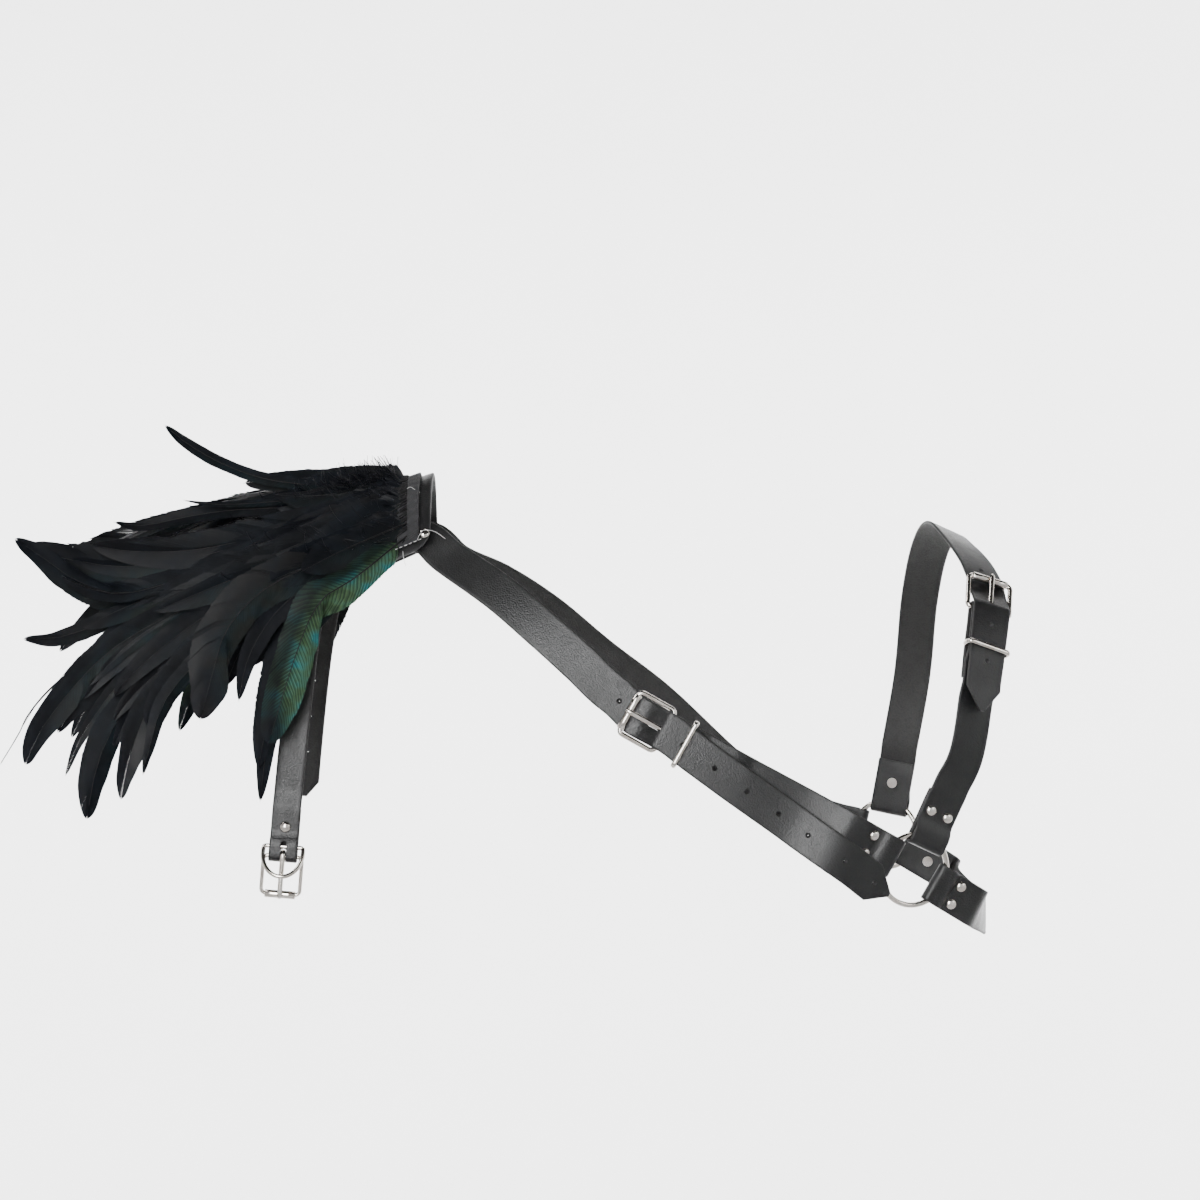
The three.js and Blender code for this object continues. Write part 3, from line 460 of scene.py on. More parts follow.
@dataclass(frozen=True)
class LeatherFinish(Finish):
    """Black leather with a pebbled face, a lighter cut edge and a dull back. The pebble tops are painted
    lighter and the creases darker as painted shade, and the pad's lighter edge is partly a painted highlight.
    """

    name: str
    pebble: float
    low: Triple
    high: Triple
    gloss: Pair
    edge: Triple = (0.022, 0.021, 0.021)
    back: Triple = (0.012, 0.0115, 0.0115)
    relief: float = 0.55
    deep: float = 0.00025

    def dress(self, graph: Graph, shader: Node) -> None:
        """Feeds the shader."""
        place = graph.place()
        grain = graph.add("ShaderNodeGroup", {"Place": place, "Pebble": self.pebble}, node_tree=grain_group())
        # tone carries random tone and the grain's painted crease shade; it sets colour and roughness
        tone, cut, flesh = grain.outputs["ToneAndCreaseShade"], graph.attribute("cut"), graph.attribute("flesh")
        face = graph.blend(tone, colour(*self.low), colour(*self.high))
        fibres = graph.noise(place, 900.0, 4.0)
        # the cut edge's colour: the strap's own edge colour, and on the pad partly a painted highlight on its
        # rounded rim
        cut_edge_and_sheen = graph.times(cut, graph.ranged(fibres, 0.4, 1.0))
        edged = graph.blend(cut_edge_and_sheen, face, colour(*self.edge))
        backed = graph.blend(flesh, edged, colour(*self.back))
        rough = graph.ranged(tone, self.gloss[0], self.gloss[1], 0.3, 0.7)
        dull = graph.times(graph.math("MAXIMUM", cut, flesh), 0.3)
        height = graph.math("ADD", grain.outputs["Height"], graph.times(flesh, fibres))
        graph.feed(shader, {
            "Base Color": backed,
            "Roughness": graph.math("ADD", rough, dull),
            "Normal": graph.bump(height, self.relief, self.deep),
            "Specular IOR Level": 0.5,
        })


@dataclass(frozen=True)
class NickelFinish(Finish):
    """Bright nickel plate with faint wear."""

    name: str = "bright_nickel"
    dark: Triple = (0.6, 0.55, 0.5)
    light: Triple = (0.76, 0.73, 0.69)

    def dress(self, graph: Graph, shader: Node) -> None:
        """Feeds the shader."""
        place = graph.place()
        clouds = graph.noise(place, 120.0, 4.0)
        fine = graph.noise(place, 1500.0, 2.0)
        tone = graph.ranged(clouds, 0.0, 1.0, 0.35, 0.7)
        graph.feed(shader, {
            "Base Color": graph.blend(tone, colour(*self.dark), colour(*self.light)),
            "Metallic": 1.0,
            "Roughness": graph.ranged(clouds, 0.1, 0.22, 0.3, 0.7),
            "Normal": graph.bump(fine, 0.05, 0.0001),
        })


@dataclass(frozen=True)
class PlumageFinish(Finish):
    """Blue-black barbs, some of them with a green sheen painted into their colour, on dark quills."""

    name: str = "black_plumage"
    black: Triple = (0.0022, 0.003, 0.005)
    brown: Triple = (0.0082, 0.008, 0.0088)
    blue: Triple = (0.0044, 0.006, 0.0098)
    green: Triple = (0.1, 0.19, 0.085)
    teal: Triple = (0.026, 0.15, 0.15)
    quill: Triple = (0.012, 0.0115, 0.012)
    bars: float = 690.0
    sheen_ends: Pair = (0.76, 0.9)

    def dress(self, graph: Graph, shader: Node) -> None:
        """Feeds the shader."""
        along, flank = graph.attribute("along"), graph.attribute("flank")
        clouds = graph.noise(graph.place(), 60.0, 3.0)
        base = graph.blend(graph.attribute("tint"), colour(*self.black), colour(*self.brown))
        # the blue patches are partly the feathers' blue-black tone and partly painted sheen that stands in
        # for the low specular gloss
        mottle_and_sheen = graph.blend(graph.ranged(clouds, 0.0, 0.6, 0.4, 0.75), base, colour(*self.blue))
        ladder = graph.ranged(graph.math("SINE", graph.times(along, self.bars)), 0.4, 1.0, -0.6, 0.9)
        # painted sheen: the green is painted into the base colour, brighter towards one flank of the vane,
        # where the light catches it
        near = graph.ranged(flank, 1.0, 0.15, -0.25, 0.4)
        lit = graph.times(graph.ranged(clouds, 0.3, 1.0, 0.35, 0.6), near)
        sheen = graph.times(graph.attribute("sheen"), graph.ranged(along, 1.0, 0.08, *self.sheen_ends))
        hue = graph.ranged(clouds, 0.0, 1.0, 0.4, 0.62)
        shine = graph.blend(hue, colour(*self.green), colour(*self.teal))
        vane = graph.blend(graph.times(sheen, graph.times(ladder, lit)), mottle_and_sheen, shine)
        graph.feed(shader, {
            "Base Color": graph.blend(graph.attribute("quill"), vane, colour(*self.quill)),
            "Roughness": graph.ranged(clouds, 0.38, 0.55, 0.3, 0.7),
            "Specular IOR Level": 0.12,
        })


@dataclass(frozen=True)
class TapeFinish(Finish):
    """Black ribbon with a fine cross weave."""

    name: str = "woven_tape"
    dark: Triple = (0.006, 0.006, 0.007)
    light: Triple = (0.03, 0.03, 0.033)
    warp: float = 5.2
    weft: float = 7.5

    def dress(self, graph: Graph, shader: Node) -> None:
        """Feeds the shader."""
        point = graph.add("ShaderNodeSeparateXYZ", {0: graph.add("ShaderNodeTexCoord").outputs["UV"]}).outputs
        counts = (self.warp, self.weft)
        weave = graph.times(*(graph.math("SINE", graph.times(at, n)) for at, n in zip(point, counts)))
        tone = graph.ranged(weave, 0.0, 1.0, -1, 1)
        graph.feed(shader, {
            "Base Color": graph.blend(tone, colour(*self.dark), colour(*self.light)),
            "Roughness": graph.ranged(weave, 0.75, 0.5, -1, 1),
            "Normal": graph.bump(weave, 0.6, 0.0003),
        })


@dataclass(frozen=True)
class ThreadFinish(Finish):
    """Twisted sewing thread."""

    name: str
    dark: Triple
    light: Triple

    def dress(self, graph: Graph, shader: Node) -> None:
        """Feeds the shader."""
        twist = graph.noise(graph.place(), 1800.0, 2.0)
        graph.feed(shader, {
            "Base Color": graph.blend(twist, colour(*self.dark), colour(*self.light)),
            "Roughness": graph.ranged(twist, 0.5, 0.75, 0.3, 0.7),
            "Normal": graph.bump(twist, 0.3, 0.0001),
        })


STRAP_FINISH = LeatherFinish(
    "strap_leather_face", pebble=1150.0, low=(0.002, 0.0021, 0.0024), high=(0.007, 0.0071, 0.0077),
    gloss=(0.48, 0.3),
)
# The pad's cut edge is lighter than the strap's: partly its own colour and partly a painted highlight along
# the rounded rim.
PAD_FINISH = LeatherFinish(
    "pad_leather_face", pebble=1050.0, low=(0.003, 0.0031, 0.0035), high=(0.008, 0.0082, 0.009),
    gloss=(0.44, 0.3), edge=(0.07, 0.07, 0.072),
)
NICKEL_FINISH = NickelFinish()
PLUMAGE_FINISH = PlumageFinish()
TAPE_FINISH = TapeFinish()
BLACK_THREAD = ThreadFinish("black_thread", (0.006, 0.006, 0.007), (0.02, 0.02, 0.022))
PALE_THREAD = ThreadFinish("pale_thread", (0.42, 0.42, 0.42), (0.7, 0.7, 0.7))


# Lines on the body


@dataclass(frozen=True)
class Spot:
    """A place on a strap's line: where it is, which way the line heads, outwards and sideways."""

    place: Array
    heading: Array
    out: Array
    side: Array

    def at(self, points: Any) -> Array:
        """Moves points from along, sideways and outwards of this spot to the wearer."""
        points = np.asarray(points, dtype=float)
        axes = np.stack([self.heading, self.side, self.out])
        return self.place + points @ axes


class SmoothCurve:
    """A centripetal Catmull-Rom curve through points."""

    def __init__(self, points: Sequence[Array]) -> None:
        """Keeps the points, with one more mirrored past each end."""
        inner = np.asarray(points, dtype=float)
        first, last = 2 * inner[0] - inner[1], 2 * inner[-1] - inner[-2]
        self.points = np.vstack([first, inner, last])
        self.spans = len(inner) - 1

    def point(self, t: float) -> Array:
        """Gives the point at t from 0 to 1."""
        place = min(max(t, 0.0), 1.0) * self.spans
        i = min(int(place), self.spans - 1)
        u = place - i
        p0, p1, p2, p3 = self.points[i : i + 4]
        d1 = self.knot(p1, p2, 1.0)
        d0, d2 = self.knot(p0, p1, d1), self.knot(p2, p3, d1)
        t1 = d1 * ((p1 - p0) / d0 - (p2 - p0) / (d0 + d1) + (p2 - p1) / d1)
        t2 = d1 * ((p2 - p1) / d1 - (p3 - p1) / (d1 + d2) + (p3 - p2) / d2)
        return p1 + t1 * u + (3 * (p2 - p1) - 2 * t1 - t2) * u**2 + (2 * (p1 - p2) + t1 + t2) * u**3

    @staticmethod
    def knot(a: Array, b: Array, spare: float) -> float:
        """Gives the root of the distance of two points, or a spare value where they meet."""
        found = math.sqrt(np.linalg.norm(b - a))
        return found if found > TINY else spare

    def tangent(self, t: float) -> Array:
        """Gives the heading at t from 0 to 1."""
        return unit(self.point(min(t + TINY, 1.0)) - self.point(max(t - TINY, 0.0)))


Skin = tuple[Array, Array]  # a point on the skin and the way that it faces


def skin(x: float, y: float, z: float, turn: float, lean: float) -> Skin:
    """Reads one row of a body table.

    Args:
        x, y, z: the point on the skin.
        turn: from the back (0) by the right side (90) to the front (180).
        lean: from the back (0) over the shoulder (90) to the front (180).

    Returns:
        The point and the way that it faces.
    """
    t, l = math.radians(turn), math.radians(lean)
    facing = (math.sin(t), -math.cos(t) * math.cos(l), math.cos(t) * math.sin(l))
    return np.array([x, y, z], dtype=float), np.array(facing)


class BodyLine:
    """A smooth line through rows of the body, measured from its first row."""

    def __init__(self, rows: Sequence[Skin], samples: int = 500) -> None:
        """Fits the line and measures it."""
        self.places = SmoothCurve([row[0] for row in rows])
        self.normals = SmoothCurve([row[1] for row in rows])
        walk = np.array([self.places.point(i / samples) for i in range(samples + 1)])
        self.lengths = run_lengths(walk)
        self.samples = samples

    @property
    def length(self) -> float:
        """The length of the line."""
        return float(self.lengths[-1])

    def spot(self, s: float, lift: float = 0.0, sway: float = 0.0) -> Spot:
        """Finds a place on the line. Past an end the line runs straight on.

        Args:
            s: distance from the first row.
            lift: height over the skin.
            sway: distance to the side.

        Returns:
            The place with its directions.
        """
        inside = min(max(s, 0.0), self.length)
        t = float(np.interp(inside, self.lengths, np.arange(self.samples + 1))) / self.samples
        heading = self.places.tangent(t)
        out = unit(across(self.normals.point(t), heading))
        side = np.cross(out, heading)
        place = self.places.point(t) + heading * (s - inside) + out * lift + side * sway
        return Spot(place, heading, out, side)


FLAT_AT_RING = (0.0, 30.0, 50.0)


def from_ring(ring: Skin, toward: Skin) -> list[Skin]:
    """Lists the rows from the middle of a ring towards the row that follows, in the ring's own plane."""
    away = unit(across(toward[0] - ring[0], ring[1]))
    return [(ring[0] + away * far, ring[1]) for far in FLAT_AT_RING]


# Shoulder pad


PAD_EDGE = (  # inset from the edge, height against half the wall, and how much of the lighter cut-edge colour shows there, partly the edge's own colour and partly a painted highlight along the rounded rim
    (0.3, -1.0, 0.5), (0.0, -0.6, 1.0), (0.0, 0.45, 1.0), (0.25, 0.82, 0.6), (0.9, 0.98, 0.1),
    (2.0, 1.0, 0.0),
)
PAD_SHEET = (1.0, 0.97, 0.9, 0.8, 0.65, 0.5, 0.35, 0.2, 0.08)  # rings of points towards the pad's middle


@dataclass
class Pad:
    """The curved leather pad, with its cut edge, and the ribbon that carries the feathers."""

    rows: Table = (
        (-138, -5, 82, -67, 35, 54, 37),
        (-178, -5, 66, -80, 17, 67, 20),
        (-218, -5, 45, -86, -3, 75, 1),
        (-258, -5, 20, -84, -26, 76, -21),
    )
    thick: float = 2.5
    corner: float = 9.0
    sweep: float = 62.0
    half_arch: float = 80.0
    clear: float = 2.0
    border: float = 4.0
    tape_from: float = 7.5
    tape_width: float = 13.5
    tape_thick: float = 1.9
    tape_clear: float = 0.7
    tape_reach: float = 0.94
    lift_past: float = 25.0
    lift_deep: float = 30.0
    lift_over: float = 0.6
    lift_round: float = 0.35

    def __post_init__(self) -> None:
        """Fits a smooth curve to each column of the rows."""
        table = np.array(self.rows, dtype=float)
        self.curves = [np.polyfit(table[:, 0], column, 3) for column in table.T[1:]]
        self.first, self.last = table[0, 0], table[-1, 0]

    def place(self, x: Any, v: Any) -> Array:
        """Finds points of the pad's middle surface.

        Args:
            x: across the wearer.
            v: from the back edge (-1) over the top to the front edge (1).

        Returns:
            The points.
        """
        x, v = np.broadcast_arrays(np.asarray(x, dtype=float), np.asarray(v, dtype=float))
        top_y, top_z, back_y, back_z, front_y, front_z = (np.polyval(curve, x) for curve in self.curves)
        edge_y, edge_z = np.where(v < 0, back_y, front_y), np.where(v < 0, back_z, front_z)
        sweep = math.radians(self.sweep)
        out = np.sin(np.abs(v) * sweep) / math.sin(sweep)
        up = (np.cos(v * sweep) - math.cos(sweep)) / (1 - math.cos(sweep))
        return np.stack([x, lerp(top_y, edge_y, out), lerp(edge_z, top_z, up)], axis=-1)

    def normal(self, x: Any, v: Any) -> Array:
        """Finds which way the pad faces."""
        x, v = np.asarray(x, dtype=float), np.asarray(v, dtype=float)
        outward = self.place(x - 1, v) - self.place(x + 1, v)
        forward = self.place(x, v + 0.02) - self.place(x, v - 0.02)
        return -unit(np.cross(outward, forward))

    def over(self, x: Any, v: Any, height: Any) -> Array:
        """Finds points at a height over the pad's middle surface."""
        return self.place(x, v) + self.normal(x, v) * np.asarray(height, dtype=float)[..., None]

    def spot(self, x: float, v: float) -> Spot:
        """Finds a place on the pad's outer face."""
        out = self.normal(x, v)
        heading = unit(across(np.array([-1.0, 0.0, 0.0]), out))
        return Spot(self.over(x, v, self.thick / 2 + GAP), heading, out, np.cross(out, heading))

    def under(self, x: float, v: float) -> Skin:
        """Gives a row of a body line that runs under the pad."""
        out = self.normal(x, v)
        return self.place(x, v) - out * (self.thick / 2 + self.clear + STRAP.thick + GAP), out

    def edge(self, inset: float, steps: int = 60) -> Array:
        """Walks round the pad at a distance from its edge.

        Args:
            inset: distance from the edge.
            steps: points on a long side.

        Returns:
            Rows of x and v.
        """
        near, far = self.first - inset, self.last + inset
        turn = np.linspace(0, math.pi / 2, 7)
        corner = max(self.corner - inset, 1.0)
        bend = corner * (1 - np.sin(turn))
        straight = np.linspace(near - corner, far + corner, 18)[1:-1]
        xs = np.concatenate([near - bend[::-1], straight, far + bend])
        share = np.maximum(1 - np.minimum(near - xs, xs - far) / corner, 0.0)
        vs = 1 - (inset + corner * (1 - np.sqrt(np.maximum(1 - share**2, 0.0)))) / self.half_arch
        top = vs[0]
        arch = np.linspace(-top, top, steps)[1:-1]
        front = np.stack([xs, vs], axis=1)
        back = np.stack([xs[::-1], -vs[::-1]], axis=1)
        end = np.stack([np.full(len(arch), xs[-1]), arch[::-1]], axis=1)
        start = np.stack([np.full(len(arch), xs[0]), arch], axis=1)
        return np.vstack([front, end, back, start])

    def build(self) -> Object:
        """Makes the pad as nested rings of points from its edge to its middle."""
        half = self.thick / 2
        levels = (*PAD_EDGE, (self.border, 1.0, 0.0))
        loops = np.array([self.over(*self.edge(inset).T, height * half) for inset, height, _ in levels])
        draft = Draft()
        faces = [tuple(reversed(face)) for face in grid_faces(*loops.shape[:2])[:-2]]
        cut = np.repeat([shown for _, _, shown in levels], loops.shape[1])
        draft.add(loops, faces, cut=cut, flesh=np.zeros(len(cut)))
        self.add_sheet(draft, half, self.border, 1.0)
        self.add_sheet(draft, -half, PAD_EDGE[0][0], -1.0)
        return draft.build("shoulder_pad_leather", PAD_FINISH.material())

    def add_sheet(self, draft: Draft, height: float, inset: float, way: float) -> None:
        """Adds one face of the pad inside a ring of its edge.

        Args:
            draft: the mesh to add to.
            height: of the face over the middle surface.
            inset: distance of its border from the pad's edge.
            way: 1 for the outer face and -1 for the lining.
        """
        loop = self.edge(inset)
        middle = np.array([(self.first + self.last) / 2, 0.0])
        rows = [middle + (loop - middle) * share for share in PAD_SHEET]
        points = [self.over(*row.T, height) for row in rows]
        count = len(loop)
        faces = grid_faces(len(rows), count)[:-2]
        last = (len(rows) - 1) * count
        centre = self.over(*middle, height)
        faces += [(last + i, last + (i + 1) % count, len(rows) * count) for i in range(count)]
        if way > 0:
            faces = [tuple(reversed(face)) for face in faces]
        cloud = np.vstack([*points, centre[None]])
        flesh = np.full(len(cloud), 0.0 if way > 0 else 0.6)
        draft.add(cloud, faces, cut=np.zeros(len(cloud)), flesh=flesh)

    def cleared(self, points: Array) -> Array:
        """Lifts points that would lie in or under the pad to just over its face, in the order they lay.

        Args:
            points: rows of x, y and z.

        Returns:
            The points, with those away from the pad as they were.
        """
        x, y, z = points.T
        top_y, top_z, back_y, back_z, front_y, front_z = (
            np.polyval(curve, np.maximum(x, self.last - self.lift_past)) for curve in self.curves
        )
        edge_y, edge_z = np.where(y < top_y, back_y, front_y), np.where(y < top_y, back_z, front_z)
        wide, tall, sweep = edge_y - top_y, top_z - edge_z, math.radians(self.sweep)
        side, rise = math.sin(sweep) / wide, (1 - math.cos(sweep)) / tall
        out, up = (y - top_y) * side, (z - edge_z) * rise + math.cos(sweep)
        reach, angle = np.hypot(out, up), np.arctan2(out, up)
        size = np.hypot(np.sin(angle) / side, np.cos(angle) / rise)
        height = (reach - 1) * size
        low, high = self.thick / 2 + self.tape_clear, self.tape_height() + self.lift_over
        lifted = np.where(height < high, np.interp(height, [-self.lift_deep, high], [low, high]), height)
        held = np.clip((x - self.last) / self.lift_past + 1, 0, 1)
        held *= np.clip((1 + self.lift_round - angle / sweep) / self.lift_round, 0, 1)
        grow = (1 + lerp(height, lifted, held) / size) / reach
        return np.stack([x, top_y + out * grow / side, edge_z + (up * grow - math.cos(sweep)) / rise], axis=1)

    @property
    def tape_edge(self) -> float:
        """The place of the ribbon's inner edge across the wearer."""
        return self.first - self.tape_from

    def facing(self, v: float) -> Array:
        """Finds which way the pad faces at the ribbon's inner edge."""
        return self.normal(self.tape_edge, v)

    def tape_height(self) -> float:
        """Gives the height of the middle of the ribbon."""
        return self.thick / 2 + self.tape_clear + self.tape_thick / 2

    def build_tape(self) -> Object:
        """Makes the ribbon over the roots of the feathers."""
        vs = np.linspace(-self.tape_reach, self.tape_reach, 150)
        middle, half, deep = self.tape_height(), self.tape_width / 2, self.tape_thick / 2
        ease = half - 0.4
        outline = [
            (-half, 0.3), (-ease, 0.9), (-half / 2, 1.0), (0, 1.1), (half / 2, 1.0), (ease, 0.9), (half, 0.3),
            (half, -0.6), (ease, -1.0), (-ease, -1.0), (-half, -0.6),
        ]
        centre = self.tape_edge - half
        ripple = 0.25 * np.sin(vs * 71.0) + 0.2 * np.sin(vs * 43.0 + 1.0)
        sides = [self.over(centre - a + 0.35 * ripple, vs, middle + deep * h + ripple) for a, h in outline]
        points, faces = swept(np.stack(sides, axis=1))
        aside = np.array([a for a, _ in outline])
        uv = np.stack(np.broadcast_arrays(aside[None], vs[:, None] * self.half_arch), axis=-1)
        draft = Draft()
        draft.add(points, faces, uv=uv.reshape(-1, 2))
        return draft.build("trim_tape", TAPE_FINISH.material())


# Straps


@dataclass(frozen=True)
class Stock:
    """A flat strap: its width, wall, and the length and end width of its point."""

    width: float
    thick: float
    point: float
    tip: float = 3.0


STRAP = Stock(25.0, 2.0, 13.5)
ARM_STRAP = Stock(18.0, 2.0, 10.0)


@dataclass(frozen=True)
class BuckleSize:
    """A roller buckle: half the length of its bar, bar to roller, its wires and what its plating adds."""

    span: float = 14.5
    reach: float = 25.0
    wire: float = 1.4
    corner: float = 3.0
    roller: float = 2.5
    roller_length: float = 24.0
    prong: float = 1.25
    plate: float = 0.22
    flat: float = 1.3
    roller_drop: float = 0.0


BUCKLE = BuckleSize()
ARM_BUCKLE = BuckleSize(span=12.2, reach=24.0, roller_length=19.4, plate=-0.15, roller_drop=0.23)
RING_RADIUS, RING_WIRE = 22.5, 1.75
RIVET_CAP, RIVET_DOME, RIVET_SHANK, RIVET_WASHER, RIVET_PAIR = 3.5, 1.9, 1.5, 0.8, 6.25
HOLE_RADIUS, HOLE_PITCH, HOLE_CLOSED = 1.75, 24.0, 0.12
KEEPER_WIRE, KEEPER_CORNER, KEEPER_SIDE, KEEPER_FLAT = 1.2, 2.2, 1.9, 1.4
FOLD_EASE, FOLD_RIVET, FOLD_POCKET, FOLD_RISE, PAST_RING = 12.0, 15.0, 4.0, 6.0, 0.8
FREE_END, STRAP_STEP, WIRE_SIDES = 51.0, 3.0, 16

# Slots round a bar, and the hole that a prong stands in: from the bar, length, depth and room at the prong
SLOT_AHEAD, SLOT_LONG, SLOT_DEEP, SLOT_EASE = 3.0, 11.2, 20.0, 0.7
PRONG_HOLE_AHEAD, PRONG_HOLE_LONG, PRONG_HOLE_DEEP, PRONG_HOLE_EASE = 7.0, 5.5, 16.0, 0.1
ARM_SLOT_AHEAD, ARM_SLOT_LONG, ARM_SLOT_DEEP, ARM_SLOT_EASE = -5.0, 5.0, 1.7, 0.72
SHANK_EASE = 0.2

# Levels over the skin, to the middle of a strap's wall
UNDER = GAP + STRAP.thick / 2
UPPER = UNDER + STRAP.thick + GAP
BAR_LEVEL = UNDER + STRAP.thick / 2 + GAP + BUCKLE.wire
OVER_BAR = BAR_LEVEL + BUCKLE.wire + GAP + STRAP.thick / 2
OVER_BUCKLE = OVER_BAR + STRAP.thick + 2 * GAP
ROLLER_LEVEL = UNDER + STRAP.thick / 2 + 2 * GAP + BUCKLE.roller
RING_LEVEL = UNDER + STRAP.thick / 2 + GAP + RING_WIRE
OVER_RING = RING_LEVEL + RING_WIRE + GAP + STRAP.thick / 2
RIVET_LEVEL = UPPER + STRAP.thick / 2 + GAP
RING_GRIP = 2 * STRAP.thick + GAP
RING_SEAT = math.sqrt(RING_RADIUS**2 - (STRAP.width / 2) ** 2) - 0.5

Row = Triple  # along the line, height over the skin, to the side


def turn_about(s: float, lift: float, radius: float, start: float, end: float, steps: int = 12) -> list[Row]:
    """Turns about a bar in the side view, between two angles in degrees."""
    angles = np.radians(np.linspace(start, end, steps + 1))
    return [(s + radius * math.cos(a), lift + radius * math.sin(a), 0.0) for a in angles]


def ring_end(rivet: float, at: float = 0.0, way: int = 1) -> list[Row]:
    """Lists a strap end turned back round a ring.

    Args:
        rivet: from the middle of the ring to its rivets.
        at: place of the ring on the line.
        way: 1 where the strap runs on from the ring and -1 where it comes to it.

    Returns:
        Rows from the free end on.
    """
    flat = RIVET_CAP + 1.0
    rows = [(FREE_END, UNDER, 0.0), (rivet + flat, UNDER, 0.0)]
    rows += turn_about(RING_SEAT, RING_LEVEL, OVER_RING - RING_LEVEL, 270, 90)
    rows += [(RING_RADIUS + RING_WIRE + PAST_RING, OVER_RING, 0.0), (rivet - flat, UPPER, 0.0)]
    rows += [(rivet + flat, UPPER, 0.0), (FREE_END, UPPER, 0.0), (FREE_END + FOLD_EASE, UNDER, 0.0)]
    return [(at + way * s, lift, sway) for s, lift, sway in rows]


def bar_end(bar: float, pocket: float, free: float) -> list[Row]:
    """Lists a strap end turned back round a buckle's bar, from the skin to its free end."""
    rows = [(bar - free - FOLD_EASE, UNDER, 0.0), (bar - free, UPPER, 0.0)]
    rows += [(bar - pocket - FOLD_RISE, UPPER, 0.0), (bar - pocket, OVER_BAR, 0.0)]
    return rows + turn_about(bar, BAR_LEVEL, OVER_BAR - BAR_LEVEL, 90, -90) + [(bar - free, UNDER, 0.0)]


def spaced(rows: Sequence[Row]) -> Array:
    """Runs a curve that never swings past its rows through them, in short steps.

    Args:
        rows: rows of a side view.

    Returns:
        Closely spaced rows.
    """
    table = np.array(rows, dtype=float)
    runs = np.hypot(np.diff(table[:, 0]), np.diff(table[:, 1]))
    slopes = np.diff(table, axis=0) / runs[:, None]
    ends = np.vstack([slopes[:1], np.zeros((len(table) - 2, 3)), slopes[-1:]])
    product = slopes[:-1] * slopes[1:]
    total = np.where(np.abs(slopes[:-1] + slopes[1:]) > 1e-9, slopes[:-1] + slopes[1:], 1.0)
    ends[1:-1] = np.where(product > 0, 2 * product / total, 0.0)
    found = []
    for i, run in enumerate(runs):
        for t in np.arange(0, 1, 1 / max(1, round(run / STRAP_STEP)))[:, None]:
            rise = t * t * (3 - 2 * t)
            bend = run * (t * (1 - t) ** 2 * ends[i] + t * t * (t - 1) * ends[i + 1])
            found.append(lerp(table[i], table[i + 1], rise) + bend)
    return np.vstack([*found, table[-1]])


def strap_section(width: float, thick: float) -> tuple[Array, Array]:
    """Draws the rounded section of a strap.

    Args:
        width: of the strap.
        thick: of its wall.

    Returns:
        Points as side and height, and how much each one belongs to the cut edge.
    """
    half, deep = width / 2, thick / 2
    face = [(half - 0.9, 1.0), (half - 2.2, 0.97), (half / 2, 1.0), (0.0, 1.03)]
    quarter = [(half, 0.0, 1.0), (half, 0.4, 1.0), (half - 0.3, 0.8, 0.6)]
    upper = quarter + [(a, h, 0.0) for a, h in face] + [(-a, h, 0.0) for a, h in face[-2::-1]]
    upper += [(-a, h, c) for a, h, c in quarter[::-1]]
    lower = [(a, -h, c) for a, h, c in upper[-2:0:-1]]
    table = np.array(upper + lower)
    return table[:, :2] * (1.0, deep), table[:, 2]


def cut_to_point(path: Array, stock: Stock) -> tuple[Array, Array]:
    """Ends a strap's side view in a point.

    Args:
        path: rows of the side view.
        stock: the strap's sizes.

    Returns:
        The rows, and the strap's width at each of them.
    """
    tip = path[-1]
    way = math.copysign(1.0, path[-2][0] - tip[0])
    body = path[np.abs(path[:, 0] - tip[0]) >= stock.point + 1.0]
    near = path[np.abs(path[:, 0] - tip[0]) <= 3 * stock.point]
    near = near[np.argsort(near[:, 0])]
    shares = np.linspace(1, 0, 6)
    along = tip[0] + way * stock.point * shares
    point = np.column_stack([along, *(np.interp(along, near[:, 0], near[:, k]) for k in (1, 2))])
    widths = np.concatenate([np.full(len(body), stock.width), lerp(stock.tip, stock.width, shares)])
    return np.vstack([body, point]), widths


def strap_draft(line: BodyLine, rows: Sequence[Row], stock: Stock, pointed: bool, grain: int) -> Draft:
    """Sweeps a strap along a body line.

    Args:
        line: where the strap lies.
        rows: its side view.
        stock: its sizes.
        pointed: whether its last end is cut to a point.
        grain: 1 where the finished face is on the left of its side view and -1 where it is on the right.

    Returns:
        The mesh in the making.
    """
    path = spaced(rows)
    widths = np.full(len(path), stock.width)
    if pointed:
        path, widths = cut_to_point(path, stock)
    table, cut = strap_section(stock.width, stock.thick)
    before, after = np.vstack([path[:1], path[:-1]]), np.vstack([path[1:], path[-1:]])
    step = (after - before)[:, :2]
    step /= np.linalg.norm(step, axis=1)[:, None]
    half = stock.width / 2
    loops = []
    for (s, lift, sway), (ds, dl), width in zip(path, step, widths):
        narrow = (width - stock.width) / 2
        spots = {h: line.spot(s - h * dl, lift + h * ds, sway) for h in set(table[:, 1])}
        sides = [a + np.sign(a) * narrow * abs(a) / half for a in table[:, 0]]
        loops.append([spots[h].place + spots[h].side * side for side, h in zip(sides, table[:, 1])])
    points, faces = swept(np.array(loops))
    run = run_lengths(path)
    flesh = np.tile(np.where(table[:, 1] * grain < -0.85 * stock.thick / 2, 1.0, 0.0), len(path))
    uv = np.stack(np.broadcast_arrays(run[:, None] * MM, table[None, :, 0] * MM), axis=-1)
    draft = Draft()
    draft.add(points, faces, cut=np.tile(cut, len(path)), flesh=flesh, uv=uv.reshape(-1, 2))
    return draft


